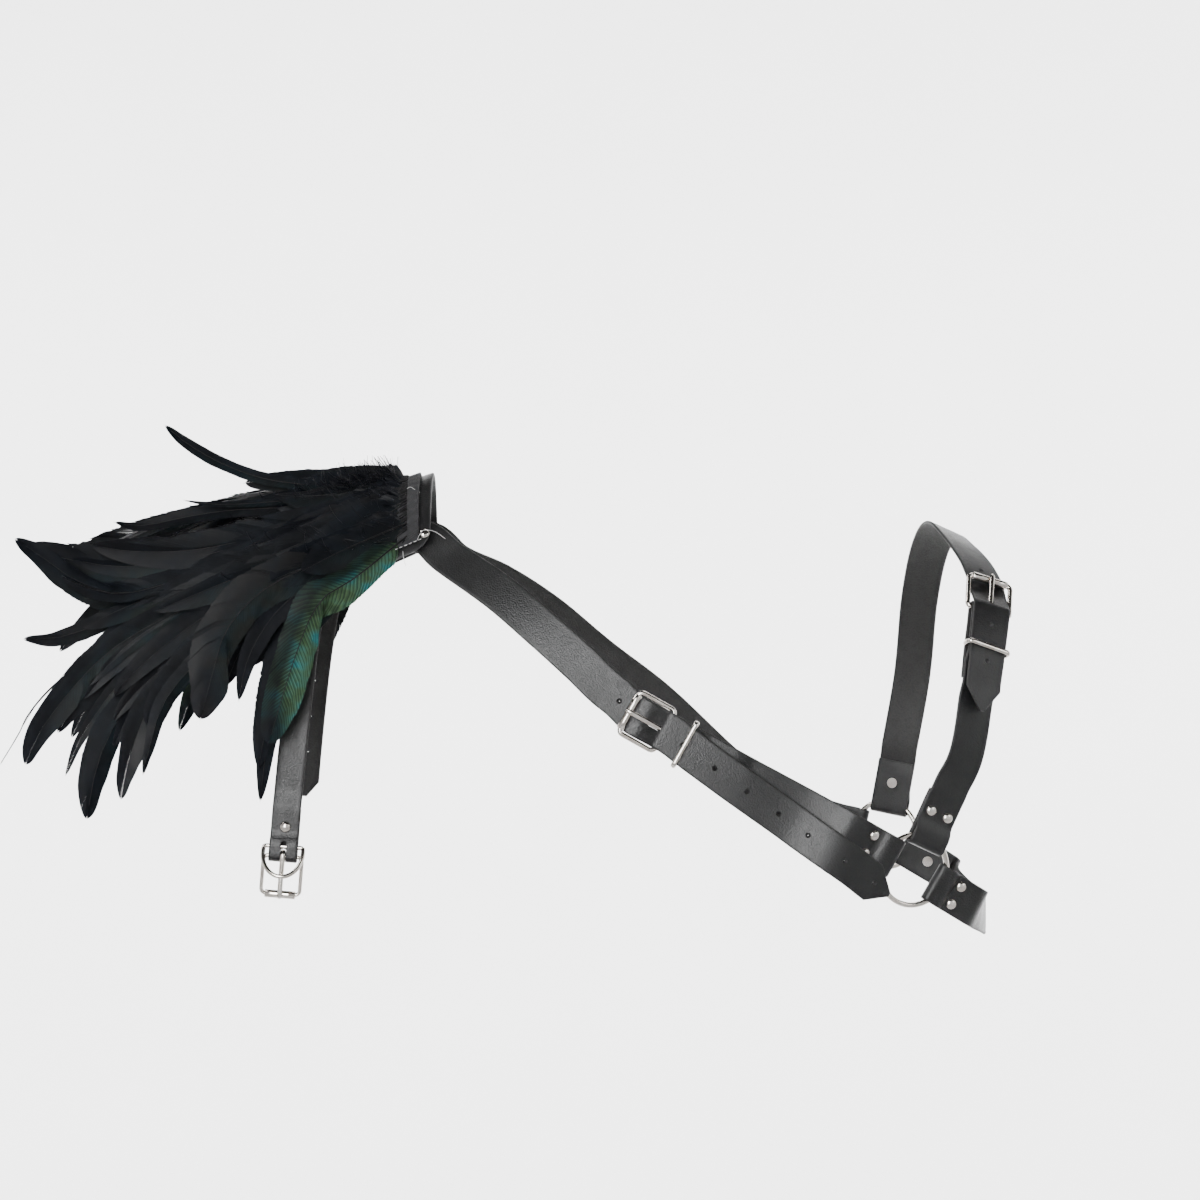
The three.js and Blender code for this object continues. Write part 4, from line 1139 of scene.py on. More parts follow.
def add_plug(
    cutter: Draft, spot: Spot, radius: float, deep: float = 12.0, long: float = 0.0, narrow: float = 1.0,
    sides: int = 20,
) -> None:
    """Adds a round or long plug for a hole.

    Args:
        cutter: the plugs so far.
        spot: middle of the hole.
        radius: of the plug.
        deep: how far it goes each way.
        long: distance between the middles of its two round ends.
        narrow: share of its width that is left on the flesh side, where soft leather closes up.
        sides: corners of its outline.
    """
    angles = round_turn(sides)
    ends = np.column_stack([np.sign(np.cos(angles + 1e-6)) * long / 2, np.zeros(sides)])
    circle = radius * np.stack([np.cos(angles), np.sin(angles)], axis=1)
    skin_side, flesh_side = 0.4 * STRAP.thick, -0.3 * STRAP.thick
    levels = ((-deep, narrow), (flesh_side, narrow), (skin_side, 1.0), (deep, 1.0))
    flats = [np.column_stack([ends + circle * share, np.full(sides, height)]) for height, share in levels]
    count = sides * len(levels)
    points, faces = swept(np.array([spot.at(flat) for flat in flats]))
    cutter.add(points, faces, cut=np.full(count, 0.3), flesh=np.zeros(count), uv=np.zeros((count, 2)))


# Wire goods


def rounded_rectangle(
    low: Pair, high: Pair, corner: float, steps: int = 8
) -> Array:
    """Lists the middle line of a rectangle with round corners, as rows of x and y."""
    spots = [(high[0], high[1], 0), (low[0], high[1], 90), (low[0], low[1], 180), (high[0], low[1], 270)]
    centre = (np.array(low) + np.array(high)) / 2
    found = []
    for x, y, start in spots:
        middle = np.array([x, y]) - np.sign(np.array([x, y]) - centre) * corner
        angles = np.radians(np.linspace(start, start + 90, steps))
        found.append(middle + corner * np.stack([np.cos(angles), np.sin(angles)], axis=1))
    ring = np.vstack(found)
    longer = []
    for a, b in zip(ring, np.roll(ring, -1, axis=0)):
        parts = max(1, round(np.linalg.norm(b - a) / 4.0))
        longer += [lerp(a, b, i / parts) for i in range(parts)]
    return np.array(longer)


def buckle_spot(line: BodyLine, bar: float, size: BuckleSize, roller_level: float) -> Spot:
    """Finds the middle of a buckle's bar, with its heading to the roller.

    Args:
        line: the strap's line.
        bar: place of the bar on it.
        size: of the buckle.
        roller_level: height of the roller over the skin.

    Returns:
        The place with the buckle's directions.
    """
    base = line.spot(bar, BAR_LEVEL)
    toward = line.spot(bar + size.reach, roller_level).place - base.place
    heading = unit(across(toward, base.side))
    return Spot(base.place, heading, np.cross(heading, base.side), base.side)


def wire_piece(name: str, loops: Array, joined: bool = True) -> Object:
    """Makes one nickel piece of swept loops."""
    draft = Draft()
    draft.add(*swept(loops, joined))
    return draft.build(name, NICKEL_FINISH.material(), 50.0)


@dataclass(frozen=True)
class Buckle:
    """One roller buckle on a strap's line."""

    name: str
    spot: Spot
    size: BuckleSize
    bodies: tuple[Body, Body, Body] = (Body.HARNESS, Body.HARNESS, Body.HARNESS)

    def build(self) -> None:
        """Makes the frame, the roller and the prong and hands them in."""
        parts = (("frame", self.frame()), ("roller", self.roller()), ("prong", self.prong()))
        for (part, loops), body in zip(parts, self.bodies):
            piece = wire_piece(f"{self.name}_{part}_nickel", self.spot.at(loops), part != "prong")
            settle(piece, Slot.NICKEL, [f"{self.name}_buckle_{part}"], body)

    def frame(self) -> Array:
        """Bends the frame: a wire rectangle with its bar at the back."""
        flat = rounded_rectangle((0.0, -self.size.span), (self.size.reach, self.size.span), self.size.corner)
        line = np.column_stack([flat, np.zeros(len(flat))])
        return wire(line, Z_AXIS, self.size.wire + self.size.plate, WIRE_SIDES, True)

    def roller(self) -> Array:
        """Turns the roller: a thin tube with rolled ends round the front of the frame."""
        half, inner, outer = self.size.roller_length / 2, self.size.wire + GAP, self.size.roller
        lip, bevel = 0.35, 0.1
        end = [
            (inner, half - bevel), (inner + 2 * bevel, half), (outer - lip, half), (outer, half - lip),
            (outer, half * 0.5),
        ]
        profile = [*((r, -h) for r, h in end), (outer, 0.0), *end[::-1], (inner, 0.0)]
        middle = self.size.reach + self.size.roller_drop
        loops = [[(middle + r * math.cos(a), h, r * math.sin(a)) for r, h in profile] for a in round_turn(28)]
        return np.array(loops)

    def prong(self) -> Array:
        """Bends the prong: an eye round the bar and a tongue that rests on the roller."""
        thick, inner = self.size.prong, self.size.wire + GAP
        middle = inner + thick
        start = np.array([0.0, 0.0, middle])
        end = np.array([self.size.reach + 2.4, 0.0, self.size.roller + GAP + thick])
        angles = np.radians(np.linspace(375, 90, 26))[:-1]
        eye = middle * np.stack([np.cos(angles), np.zeros(25), np.sin(angles)], axis=1)
        shares = np.array([0, 0.08, 0.2, 0.35, 0.5, 0.7, 0.85, 0.93, 0.97, 0.99, 1.0])
        tongue = start + (end - start) * shares[:, None]
        tongue[-4:, 2] -= np.array([0.05, 0.25, 0.5, 0.7])
        radius = thick * np.concatenate([np.ones(25), [1, 1, 1, 1, 1, 1, 1, 0.96, 0.85, 0.7, 0.4]])
        loops = wire(np.vstack([eye, tongue]), Y_AXIS, radius, WIRE_SIDES, False)
        return loops * (1.0, self.size.flat, 1.0)


def keeper_piece(name: str, spot: Spot, drift: float) -> Object:
    """Bends the wire keeper round a tail and the layer under it.

    Args:
        name: name of the piece.
        spot: place on the strap's line.
        drift: how far the tail has moved to the side there.

    Returns:
        The keeper.
    """
    half = (STRAP.width + abs(drift)) / 2 + KEEPER_SIDE
    top = OVER_BUCKLE + STRAP.thick / 2 + GAP + KEEPER_WIRE
    flat = rounded_rectangle((-half, BAR_LEVEL), (half, top), KEEPER_CORNER)
    line = np.column_stack([np.zeros(len(flat)), flat])
    loops = wire(line, X_AXIS, KEEPER_WIRE, WIRE_SIDES, True) * (KEEPER_FLAT, 1.0, 1.0)
    return wire_piece(name, spot.at(loops))


@dataclass(frozen=True)
class DropKeeper:
    """The open keeper that hangs over the arm buckle: a bar, two short sides and a round front."""

    wire: float = 1.35
    span: float = 12.6
    depth: float = 21.0
    back: float = 6.0
    droop: float = 30.0
    corner: float = 2.2

    def build(self, spot: Spot) -> Object:
        """Bends the wire at its place on the strap."""
        angles = np.linspace(-np.pi / 2, np.pi / 2, 40)
        reach = self.depth - 2 * self.corner
        front = [(2 * self.corner + reach * math.cos(a), self.span * math.sin(a)) for a in angles]
        back = [(self.corner, 0.05), (0.7, 0.3), (0.15, 1.0), (0.0, self.corner)]
        back = [(x, self.span - y) for x, y in back]
        inner = [(0.0, y) for y in np.linspace(self.span - 2 * self.corner, 2 * self.corner - self.span, 6)]
        mirrored = [(x, -y) for x, y in back[::-1]]
        line = np.array([(x, y, 0.0) for x, y in [*front, *back, *inner, *mirrored]])
        loops = wire(line, Z_AXIS, self.wire, 14, True)
        a = -math.radians(self.droop)
        tilt = np.array([[math.cos(a), 0, -math.sin(a)], [0, 1, 0], [math.sin(a), 0, math.cos(a)]])
        return wire_piece("arm_keeper_nickel", spot.at(loops @ tilt))


def ring_piece(name: str, spot: Spot) -> Object:
    """Bends a ring."""
    angles = round_turn(72)
    line = RING_RADIUS * np.stack([np.cos(angles), np.sin(angles), np.zeros(len(angles))], axis=1)
    return wire_piece(name, spot.at(wire(line, Z_AXIS, RING_WIRE, WIRE_SIDES, True)))


# What repeats


class Repeat:
    """A geometry node tree that sets copies of a small shape on points or along a line."""

    def __init__(self, name: str, sizes: dict[str, float]) -> None:
        """Opens a tree with named inputs.

        Args:
            name: name of the tree.
            sizes: named inputs with their values in metres.
        """
        self.tree = bpy.data.node_groups.new(name, "GeometryNodeTree")
        self.sizes = sizes
        self.graph = Graph(self.tree)
        self.socket("Points", "Geometry")
        self.keys = {key: self.socket(key, "Float") for key in sizes}
        self.finish_key = self.socket("Finish", "Material")
        self.socket("Made", "Geometry", "OUTPUT")
        self.source = self.graph.add("NodeGroupInput")

    def socket(self, name: str, kind: str, way: str = "INPUT") -> str:
        """Adds an input or output to the tree and gives its identifier."""
        made = self.tree.interface.new_socket(name=name, in_out=way, socket_type=f"NodeSocket{kind}")
        return made.identifier

    def __getitem__(self, key: str) -> NodeSocket:
        """Gives an input of the tree."""
        return self.source.outputs[key]

    def named(self, name: str, kind: str) -> NodeSocket:
        """Reads an attribute of the points."""
        return self.graph.out("GeometryNodeInputNamedAttribute", {"Name": name}, data_type=kind)

    def aligned(self, way: NodeSocket) -> NodeSocket:
        """Turns the z of a copy to a direction."""
        return self.graph.out("FunctionNodeAlignRotationToVector", {"Vector": way}, axis="Z")

    def spread(self, points: Any, shape: Any, rotation: Any, scale: Any = None) -> NodeSocket:
        """Sets a copy of a shape on each point."""
        values = {"Points": points, "Instance": shape, "Rotation": rotation}
        if scale is not None:
            values["Scale"] = scale
        return self.graph.out("GeometryNodeInstanceOnPoints", values)

    def close(self, *made: NodeSocket) -> None:
        """Realizes the copies and gives them their finish."""
        join = self.graph.add("GeometryNodeJoinGeometry")
        for socket in made:
            self.tree.links.new(socket, join.inputs[0])
        real = self.graph.add("GeometryNodeRealizeInstances", {0: join.outputs[0]})
        done = self.graph.add("GeometryNodeSetMaterial", {0: real.outputs[0], "Material": self["Finish"]})
        self.graph.add("NodeGroupOutput", {0: done.outputs[0]})

    def make(self, name: str, carrier: Mesh, finish: Finish, sharp: float = SHARP) -> Object:
        """Runs the tree on a carrier mesh and keeps the result as a plain piece.

        Args:
            name: name of the piece.
            carrier: points or edges that the copies stand on.
            finish: of the copies.
            sharp: edges that turn more than this many degrees stay sharp.

        Returns:
            The piece.
        """
        holder = bpy.data.objects.new(f"{name}_carrier", carrier)
        bpy.context.scene.collection.objects.link(holder)
        modifier = holder.modifiers.new("repeat", "NODES")
        modifier.node_group = self.tree
        for key, value in self.sizes.items():
            modifier[self.keys[key]] = value
        modifier[self.finish_key] = finish.material()
        graph = bpy.context.evaluated_depsgraph_get()
        mesh = bpy.data.meshes.new_from_object(holder.evaluated_get(graph), depsgraph=graph)
        holder.modifiers.clear()
        bpy.data.objects.remove(holder)
        return placed(name, mesh, finish.material(), sharp)


def carrier_mesh(points: Array, edges: Sequence[tuple[int, int]] = (), **values: Array) -> Mesh:
    """Makes a mesh of bare points or edges with values for a node tree.

    Args:
        points: in millimetres on the wearer.
        edges: pairs of points.
        **values: numbers or directions at the points.

    Returns:
        The mesh.
    """
    mesh = bpy.data.meshes.new("carrier")
    mesh.from_pydata(in_frame(points).tolist(), list(edges), [])
    for key, value in values.items():
        value = np.asarray(value, dtype=np.float32)
        if value.ndim == 2:
            mesh.attributes.new(key, "FLOAT_VECTOR", "POINT").data.foreach_set("vector", value.ravel())
        else:
            mesh.attributes.new(key, "FLOAT", "POINT").data.foreach_set("value", value)
    return mesh


@dataclass
class Rivets:
    """Tubular rivets: a domed cap, a shank through the layers and a flat cap beneath."""

    places: list[Array] = field(default_factory=list)
    axes: list[Array] = field(default_factory=list)
    grips: list[float] = field(default_factory=list)
    nodes: list[str] = field(default_factory=list)

    def add(self, node: str, spot: Spot, grip: float = RING_GRIP) -> None:
        """Notes one rivet: the solid it stands for, the place under its cap and the layers it holds."""
        self.places.append(spot.place)
        self.axes.append(spot.out)
        self.grips.append(grip + 3 * GAP)
        self.nodes.append(node)

    def pair(self, node: str, line: BodyLine, s: float) -> None:
        """Notes two rivets side by side."""
        for name, edge in (("upper", -1), ("lower", 1)):
            self.add(f"{node}_{name}", line.spot(s, RIVET_LEVEL, edge * RIVET_PAIR))

    def build(self) -> Object:
        """Sets all the rivets."""
        sizes = {"Cap": RIVET_CAP, "Dome": RIVET_DOME, "Shank": RIVET_SHANK, "Washer": RIVET_WASHER}
        tree = Repeat("rivets", {key: value * MM for key, value in sizes.items()})
        add, out = tree.graph.add, tree.graph.out
        axis, grip = tree.named("axis", "FLOAT_VECTOR"), tree.named("grip", "FLOAT")
        turn = tree.aligned(axis)
        height = add("ShaderNodeSeparateXYZ", {0: out("GeometryNodeInputPosition")}).outputs[2]
        below = {0: height, 1: -TINY}
        low = out("FunctionNodeCompare", below, data_type="FLOAT", operation="LESS_THAN")
        ball = out("GeometryNodeMeshUVSphere", {"Segments": 20, "Rings": 10, "Radius": 1.0})
        lower = {"Geometry": ball, "Selection": low}
        dome = out("GeometryNodeDeleteGeometry", lower, domain="POINT")
        size = out("ShaderNodeCombineXYZ", {0: tree["Cap"], 1: tree["Cap"], 2: tree["Dome"]})
        cap = out("GeometryNodeTransform", {"Geometry": dome, "Scale": size})
        rim = {"Vertices": 20, "Radius": tree["Cap"]}
        base = out("GeometryNodeMeshCircle", rim, fill_type="NGON")
        both = add("GeometryNodeJoinGeometry")
        for part in (cap, base):
            tree.tree.links.new(part, both.inputs[0])
        closed = out("GeometryNodeMergeByDistance", {"Geometry": both.outputs[0], "Distance": 1e-5})
        long = {"Vertices": 12, "Radius": tree["Shank"], "Depth": 1.0}
        tube = out("GeometryNodeMeshCylinder", long)
        hung = out("GeometryNodeTransform", {"Geometry": tube, "Translation": (0, 0, -0.5)})
        tall = out("ShaderNodeCombineXYZ", {0: 1.0, 1: 1.0, 2: grip})
        disc = out("GeometryNodeMeshCylinder", {**rim, "Depth": tree["Washer"]})
        down = tree.graph.times(grip, -1.0)
        drop = out("ShaderNodeVectorMath", {0: axis, "Scale": down}, operation="SCALE")
        points = tree["Points"]
        moved = out("GeometryNodeSetPosition", {"Geometry": points, "Offset": drop})
        caps, shanks = tree.spread(points, closed, turn), tree.spread(points, hung, turn, tall)
        tree.close(caps, shanks, tree.spread(moved, disc, turn))
        values = {"axis": np.array(self.axes), "grip": np.array(self.grips) * MM}
        carrier = carrier_mesh(np.array(self.places), **values)
        return tree.make("rivets_nickel", carrier, NICKEL_FINISH, 35.0)


def stitch_piece(
    name: str, runs: Sequence[Array], pitch: float, length: float, thick: float, finish: Finish
) -> Object:
    """Sews stitches along lines.

    Args:
        name: name of the piece.
        runs: points of each line.
        pitch: from stitch to stitch.
        length: of a stitch.
        thick: half the width of the thread.
        finish: of the thread.

    Returns:
        The stitches.
    """
    tree = Repeat(name, {"Pitch": pitch * MM, "Length": length * MM, "Thread": thick * MM})
    add, out = tree.graph.add, tree.graph.out
    curve = out("GeometryNodeMeshToCurve", {0: tree["Points"]})
    points = add("GeometryNodeCurveToPoints", {"Curve": curve, "Length": tree["Pitch"]}, mode="LENGTH")
    half = tree.graph.times(tree["Length"], 0.5)
    size = out("ShaderNodeCombineXYZ", {0: tree["Thread"], 1: tree["Thread"], 2: half})
    ball = out("GeometryNodeMeshUVSphere", {"Segments": 8, "Rings": 5, "Radius": 1.0})
    stitch = out("GeometryNodeTransform", {"Geometry": ball, "Scale": size})
    tree.close(tree.spread(points.outputs["Points"], stitch, tree.aligned(points.outputs["Tangent"])))
    edges, cloud, count = [], [], 0
    for run in runs:
        edges += [(count + i, count + i + 1) for i in range(len(run) - 1)]
        cloud.append(run)
        count += len(run)
    return tree.make(name, carrier_mesh(np.vstack(cloud), edges), finish, 60.0)


# Feathers


class FeatherKind(Enum):
    """How a feather looks."""

    COQUE = "long, closed and glossy"
    SPIKE = "narrow and even"
    SHEEN = "green sheen with fine bars"
    BROAD = "wide and loose"
    DULL = "brownish grey"


COQUE, SPIKE, SHEEN, BROAD, DULL = FeatherKind


@dataclass(frozen=True)
class Feather:
    """One long feather: its place on the ribbon, its tip and width, and how it bends on the way.

    via lists x and z of points that the quill passes; without them it bows up and stands out by bow and out.
    blunt goes from a pointed tip (0) to a round one (1), uneven moves the quill to one side of the vane, and
    turned is how far the vane faces away from the shoulder and towards the back or the front.
    """

    root: float
    tip: Triple
    width: float
    kind: FeatherKind = COQUE
    via: tuple[Pair, ...] = ()
    bow: float = 0.0
    out: float = 0.0
    blunt: float = 0.7
    uneven: float = 0.0
    turned: float = 0.65
    lift: float = 0.0


BACK_FEATHERS = (
    Feather(-0.88, (-236, -124, -89), 25, SHEEN,
            ((-187, 12), (-203, 2), (-212, -12), (-218, -28), (-225, -50)), blunt=0.9, turned=0.85, lift=4),
    Feather(-0.82, (-242, -114, -125), 15, COQUE, ((-200, 4), (-224, -34), (-237, -80)), blunt=0.6),
    Feather(-0.78, (-279, -118, -74), 28, DULL, ((-212, 22), (-242, 6), (-264, -19), (-272, -46)),
            blunt=0.9, turned=0.85, lift=2),
    Feather(-0.72, (-316, -106, -109), 13, COQUE, ((-220, 8), (-275, -31), (-303, -63), (-312, -91)),
            blunt=0.6),
    Feather(-0.66, (-331, -97, -125), 21, COQUE, ((-225, 6), (-281, -31), (-313, -66), (-326, -100)),
            blunt=0.8, turned=0.8),
    Feather(-0.61, (-354, -86, -138), 22, COQUE,
            ((-195, 30), (-251, -6), (-301, -41), (-333, -73), (-347, -102)), blunt=0.95, turned=0.8),
    Feather(-0.57, (-368, -82, -111), 13, COQUE, ((-210, 30), (-280, -8), (-330, -48), (-357, -85)),
            blunt=0.5),
    Feather(-0.55, (-394, -76, -104), 20, COQUE,
            ((-210, 34), (-284, 0), (-341, -32), (-372, -65), (-384, -82)), blunt=1.0, turned=0.8),
    Feather(-0.52, (-412, -64, -105), 3, SPIKE,
            ((-220, 30), (-300, -4), (-374, -51), (-394, -73), (-400, -85)), blunt=0.0),
    Feather(-0.47, (-374, -72, -84), 30, COQUE, ((-215, 36), (-285, 2), (-334, -34), (-361, -64)),
            blunt=0.5, turned=0.8),
    Feather(-0.43, (-370, -66, -52), 26, COQUE, ((-215, 40), (-285, 8), (-330, -20)), blunt=0.5, turned=0.8),
    Feather(-0.4, (-397, -62, -25), 13, COQUE, ((-200, 48), (-285, 13), (-336, -9), (-362, -20), (-376, -24)),
            blunt=0.9, turned=0.8),
    Feather(-0.36, (-403, -58, 39), 19, COQUE,
            ((-200, 50), (-254, 29), (-300, 12), (-338, 4), (-362, 11), (-384, 26)),
            blunt=0.9, turned=0.97, lift=2),
    Feather(-0.31, (-398, -52, 35), 33, BROAD, ((-200, 53), (-250, 38), (-300, 26), (-350, 23), (-378, 28)),
            blunt=0.75, turned=0.97, lift=1),
)
TOP_FEATHERS = (
    Feather(-0.2, (-343, -28, 50), 10, COQUE, ((-212, 62), (-270, 58), (-296, 54), (-327, 48)),
            blunt=0.7, turned=1.0),
    Feather(-0.12, (-297, -34, 64), 5, SPIKE, ((-220, 66), (-262, 62), (-282, 62)), blunt=0.5, turned=1.0),
    Feather(-0.02, (-312, -14, 113), 8.5, SPIKE,
            ((-205, 74), (-230, 76), (-252, 80), (-276, 89), (-297, 101)), blunt=0.95, turned=1.0),
    Feather(0.06, (-376, 0, 20), 24, BROAD, bow=10, out=5, turned=0.3),
    Feather(0.16, (-336, 16, 28), 20, COQUE, bow=7, out=4, turned=0.0),
    Feather(0.22, (-290, 24, 42), 18, COQUE, bow=6, out=2, turned=0.0),
)
FRONT_FEATHERS = (
    Feather(0.33, (-396, 44, 20), 36, BROAD, bow=-2, out=10),
    Feather(0.4, (-390, 56, -34), 20, COQUE, bow=12, out=20),
    Feather(0.46, (-368, 66, -66), 24, COQUE, bow=18, out=24),
    Feather(0.52, (-384, 70, -92), 20, COQUE, bow=24, out=26),
    Feather(0.58, (-346, 82, -118), 20, COQUE, bow=22, out=28),
    Feather(0.64, (-314, 92, -88), 22, SHEEN, bow=20, out=26),
    Feather(0.7, (-284, 102, -58), 22, COQUE, bow=16, out=24),
    Feather(0.75, (-254, 106, -84), 18, COQUE, bow=16, out=26),
    Feather(0.8, (-230, 108, -56), 22, DULL, bow=12, out=22),
)

FLANK = np.array([0.0, 0.0, 0.5, 0.5, 1.0, 1.0])  # from the quill to the end of a barb
VANE = ((0, 0.12, 0.35, 0.6, 1.0), (0.42, 0.66, 0.94, 1.0, 0.98))  # shares of a vane's length and width
Walk = Callable[[Array], Array]  # gives points of a quill at shares of its length
Frames = Callable[[Array], tuple[Array, ...]]  # gives a quill's place, heading, side and face
Curve = tuple[tuple[float, ...], tuple[float, ...]]  # places and the values there


@dataclass(frozen=True)
class QuillSize:
    """A quill: its radius at both ends and against the vane, how far it runs, and how it is drawn."""

    thick: float = 0.65
    thin: float = 0.13
    share: float = 0.12
    end: float = 0.97
    rows: int = 18
    sides: int = 5
    roll: float = 8.0


@dataclass(frozen=True)
class BarbStyle:
    """How barbs stand on a quill: in clumps that part, with fluff by the ribbon and calm towards the tip.

    Angles are in degrees and lengths in millimetres. Places along the quill are shares of its length, and
    middle and overlaps are shares of a barb's run, width and dip, and of the way to the next barb.
    """

    pitch: float = 1.0
    covered: float = 0.93
    fewest: int = 12
    ends: Pair = (0.05, 0.992)
    clump: float = 20.0
    loose: float = 1.7
    calm: Curve = ((0.68, 0.88), (1.0, 0.1))
    angles: Curve = ((0, 0.85, 1.0), (42.0, 29.0, 7.0))
    steep: Pair = (0.1, 1.45)
    lean: float = 1.5
    ragged: float = 0.045
    fray: float = 0.012
    reach: Pair = (0.6, 1.12)
    bent: float = 0.05
    parted: float = 0.25
    gape: Pair = (8.0, 1.5)
    fluff: float = 0.1
    toss: float = 14.0
    fluffed: float = 0.35
    ruffle: float = 2.0
    thinned: float = 0.45
    halvings: int = 16
    least: float = 0.35
    longest: float = 1.6
    dip: float = -0.13
    middle: Triple = (0.4, 0.56, 0.35)
    overlaps: Triple = (0.55, 0.64, 0.66)
    step: float = 0.925
    ridge: float = 0.1


@dataclass(frozen=True)
class FillerSize:
    """The feathers between the long ones: ranges of their sizes, and of their lengths and heights."""

    width: Pair = (15, 26)
    blunt: Pair = (0.4, 1.0)
    uneven: Pair = (-0.2, 0.2)
    turned: Pair = (0.55, 0.2)
    jitter: Pair = (0.1, 0.9)
    shortest: float = 0.5
    lift: Pair = (-1.5, 2.5)
    cover: Pair = (0.24, 0.5)
    cover_lift: Pair = (2.5, 6.0)
    stray: Triple = (5.0, 3.0, 8.0)


@dataclass
class Plume:
    """One part of the feather trim: its long feathers, the ones that fill in between, and their barbs."""

    name: str
    node: str
    pad: Pad
    long: tuple[Feather, ...]
    span: Pair
    away: Triple
    fillers: int
    covers: int
    seed: int
    tall: float = 0.97
    quill: QuillSize = QuillSize()
    style: BarbStyle = BarbStyle()
    filler: FillerSize = FillerSize()

    def __post_init__(self) -> None:
        """Opens the random draw and the mesh, and bends the long quills."""
        self.random = np.random.default_rng(self.seed)
        self.draft = Draft()
        self.walks = {feather: self.bend(feather) for feather in self.long}

    def root(self, place: float, lift: float) -> Array:
        """Finds where a feather comes out of the ribbon."""
        x = self.pad.tape_edge - 0.55 * self.pad.tape_width
        return self.pad.over(x, place, self.pad.tape_height() + 0.3 * lift)

    def bend(self, feather: Feather) -> Walk:
        """Bends the quill of a long feather.

        Args:
            feather: the feather.

        Returns:
            Its walk from the ribbon to its tip.
        """
        root, tip = self.root(feather.root, feather.lift), np.array(feather.tip, dtype=float)
        if feather.via:
            flat = np.array([(root[0], root[2]), *feather.via, (tip[0], tip[2])])
            far = run_lengths(flat)
            far /= far[-1]
            points = np.column_stack([flat[:, 0], lerp(root[1], tip[1], far**0.7), flat[:, 1]])
            curve = SmoothCurve(points)
            fine = np.array([curve.point(i / 80) for i in range(81)])
        else:
            chord = unit(tip - root)
            up, clear = unit(across(Z_AXIS, chord)), unit(across(self.pad.facing(feather.root), chord))
            control = (root + tip) / 2 + up * 2 * feather.bow + clear * 2 * feather.out
            t = np.linspace(0, 1, 81)[:, None]
            fine = root * (1 - t) ** 2 + control * 2 * t * (1 - t) + tip * t**2
        lengths = run_lengths(fine)
        lengths /= lengths[-1]

        def walk(t: Array) -> Array:
            """Gives points at shares of the length, running straight on past both ends."""
            inner = np.stack([np.interp(t, lengths, fine[:, k]) for k in range(3)], axis=1)
            before = np.minimum(t, 0.0)[:, None] * (fine[1] - fine[0]) / lengths[1]
            after = np.maximum(t - 1.0, 0.0)[:, None] * (fine[-1] - fine[-2]) / (1 - lengths[-2])
            return inner + before + after

        return walk

    def between(self, place: float, share: float, lift: float) -> Walk:
        """Draws the quill of a feather that lies between its long neighbours.

        Args:
            place: along the ribbon.
            share: its length against theirs.
            lift: how far it lies over them.

        Returns:
            Its walk.
        """
        guides = sorted((f for f in self.long if f.kind is not SPIKE), key=lambda f: f.root)
        roots = [f.root for f in guides]
        at = float(np.interp(place, roots, np.arange(len(roots))))
        low = min(int(at), len(guides) - 2)
        first, second, mix = self.walks[guides[low]], self.walks[guides[low + 1]], at - low
        root = self.root(place, lift)
        face = self.pad.facing(place)
        stray = self.random.normal(0, 1, 3) * self.filler.stray * share
        shift = root - lerp(first(np.zeros(1)), second(np.zeros(1)), mix)[0]

        def walk(t: Array) -> Array:
            """Follows both neighbours and strays from them towards its tip."""
            along = t * share
            t = t[:, None]
            free = np.clip(t, 0, 1)
            guided = lerp(first(along), second(along), mix)
            return guided + shift * (1 - free) + stray * t**2 + face * (lift * free)

        return walk

    def build(self) -> Object:
        """Makes all the feathers of this part as one piece."""
        draw, size = self.random, self.filler
        for feather in self.long:
            self.add_feather(self.walks[feather], feather)
        rows = (
            (self.fillers, (size.shortest * self.tall, self.tall), size.lift),
            (self.covers, size.cover, size.cover_lift),
        )
        for count, shares, lifts in rows:
            for i in range(count):
                place = float(lerp(*self.span, (i + draw.uniform(*size.jitter)) / count))
                share, lift = float(draw.uniform(*shares)), float(draw.uniform(*lifts))
                width, blunt = float(draw.uniform(*size.width)), float(draw.uniform(*size.blunt))
                uneven, turned = float(draw.uniform(*size.uneven)), float(draw.normal(*size.turned))
                feather = Feather(
                    place, (0, 0, 0), width, COQUE, blunt=blunt, uneven=uneven, turned=turned, lift=lift
                )
                self.add_feather(self.between(place, share, lift), feather)
        self.draft.points = [self.pad.cleared(points) for points in self.draft.points]
        return self.draft.build(self.name, PLUMAGE_FINISH.material(), 180.0)

    def add_feather(self, walk: Walk, feather: Feather) -> None:
        """Adds one feather: a tapered quill and the barbs on its two sides."""
        away = np.array(self.away)
        face = unit(lerp(self.pad.facing(feather.root), away, min(max(feather.turned, 0.0), 1.0)))
        length = float(np.sum(np.linalg.norm(np.diff(walk(np.linspace(0, 1, 30)), axis=0), axis=1)))
        size = self.quill
        roll = math.radians(float(self.random.normal(0, size.roll)))
        tones = self.tones(feather)

        def frames(t: Array) -> tuple[Array, ...]:
            """Gives the quill's place, heading, side and face."""
            heading = unit(walk(t + 0.01) - walk(t - 0.01))
            out = unit(across(np.broadcast_to(face, heading.shape), heading))
            side = np.cross(heading, out)
            turn = (roll * (0.3 + t))[:, None]
            cos, sin = np.cos(turn), np.sin(turn)
            return walk(t), heading, side * cos + out * sin, out * cos - side * sin

        t = np.linspace(0, size.end, size.rows)
        place, _, _, out = frames(t)
        radius = np.minimum(lerp(size.thick, size.thin, t), size.share * feather.width)
        loops = wire(place, out, radius, size.sides, False)
        along = np.repeat(t, size.sides)
        self.add_part(loops, grid_faces(*loops.shape[:2]), along, 1.0, 0.0, (tones[0], 0.0))
        for way in (-1.0, 1.0):
            self.add_barbs(frames, feather, length, way, tones)

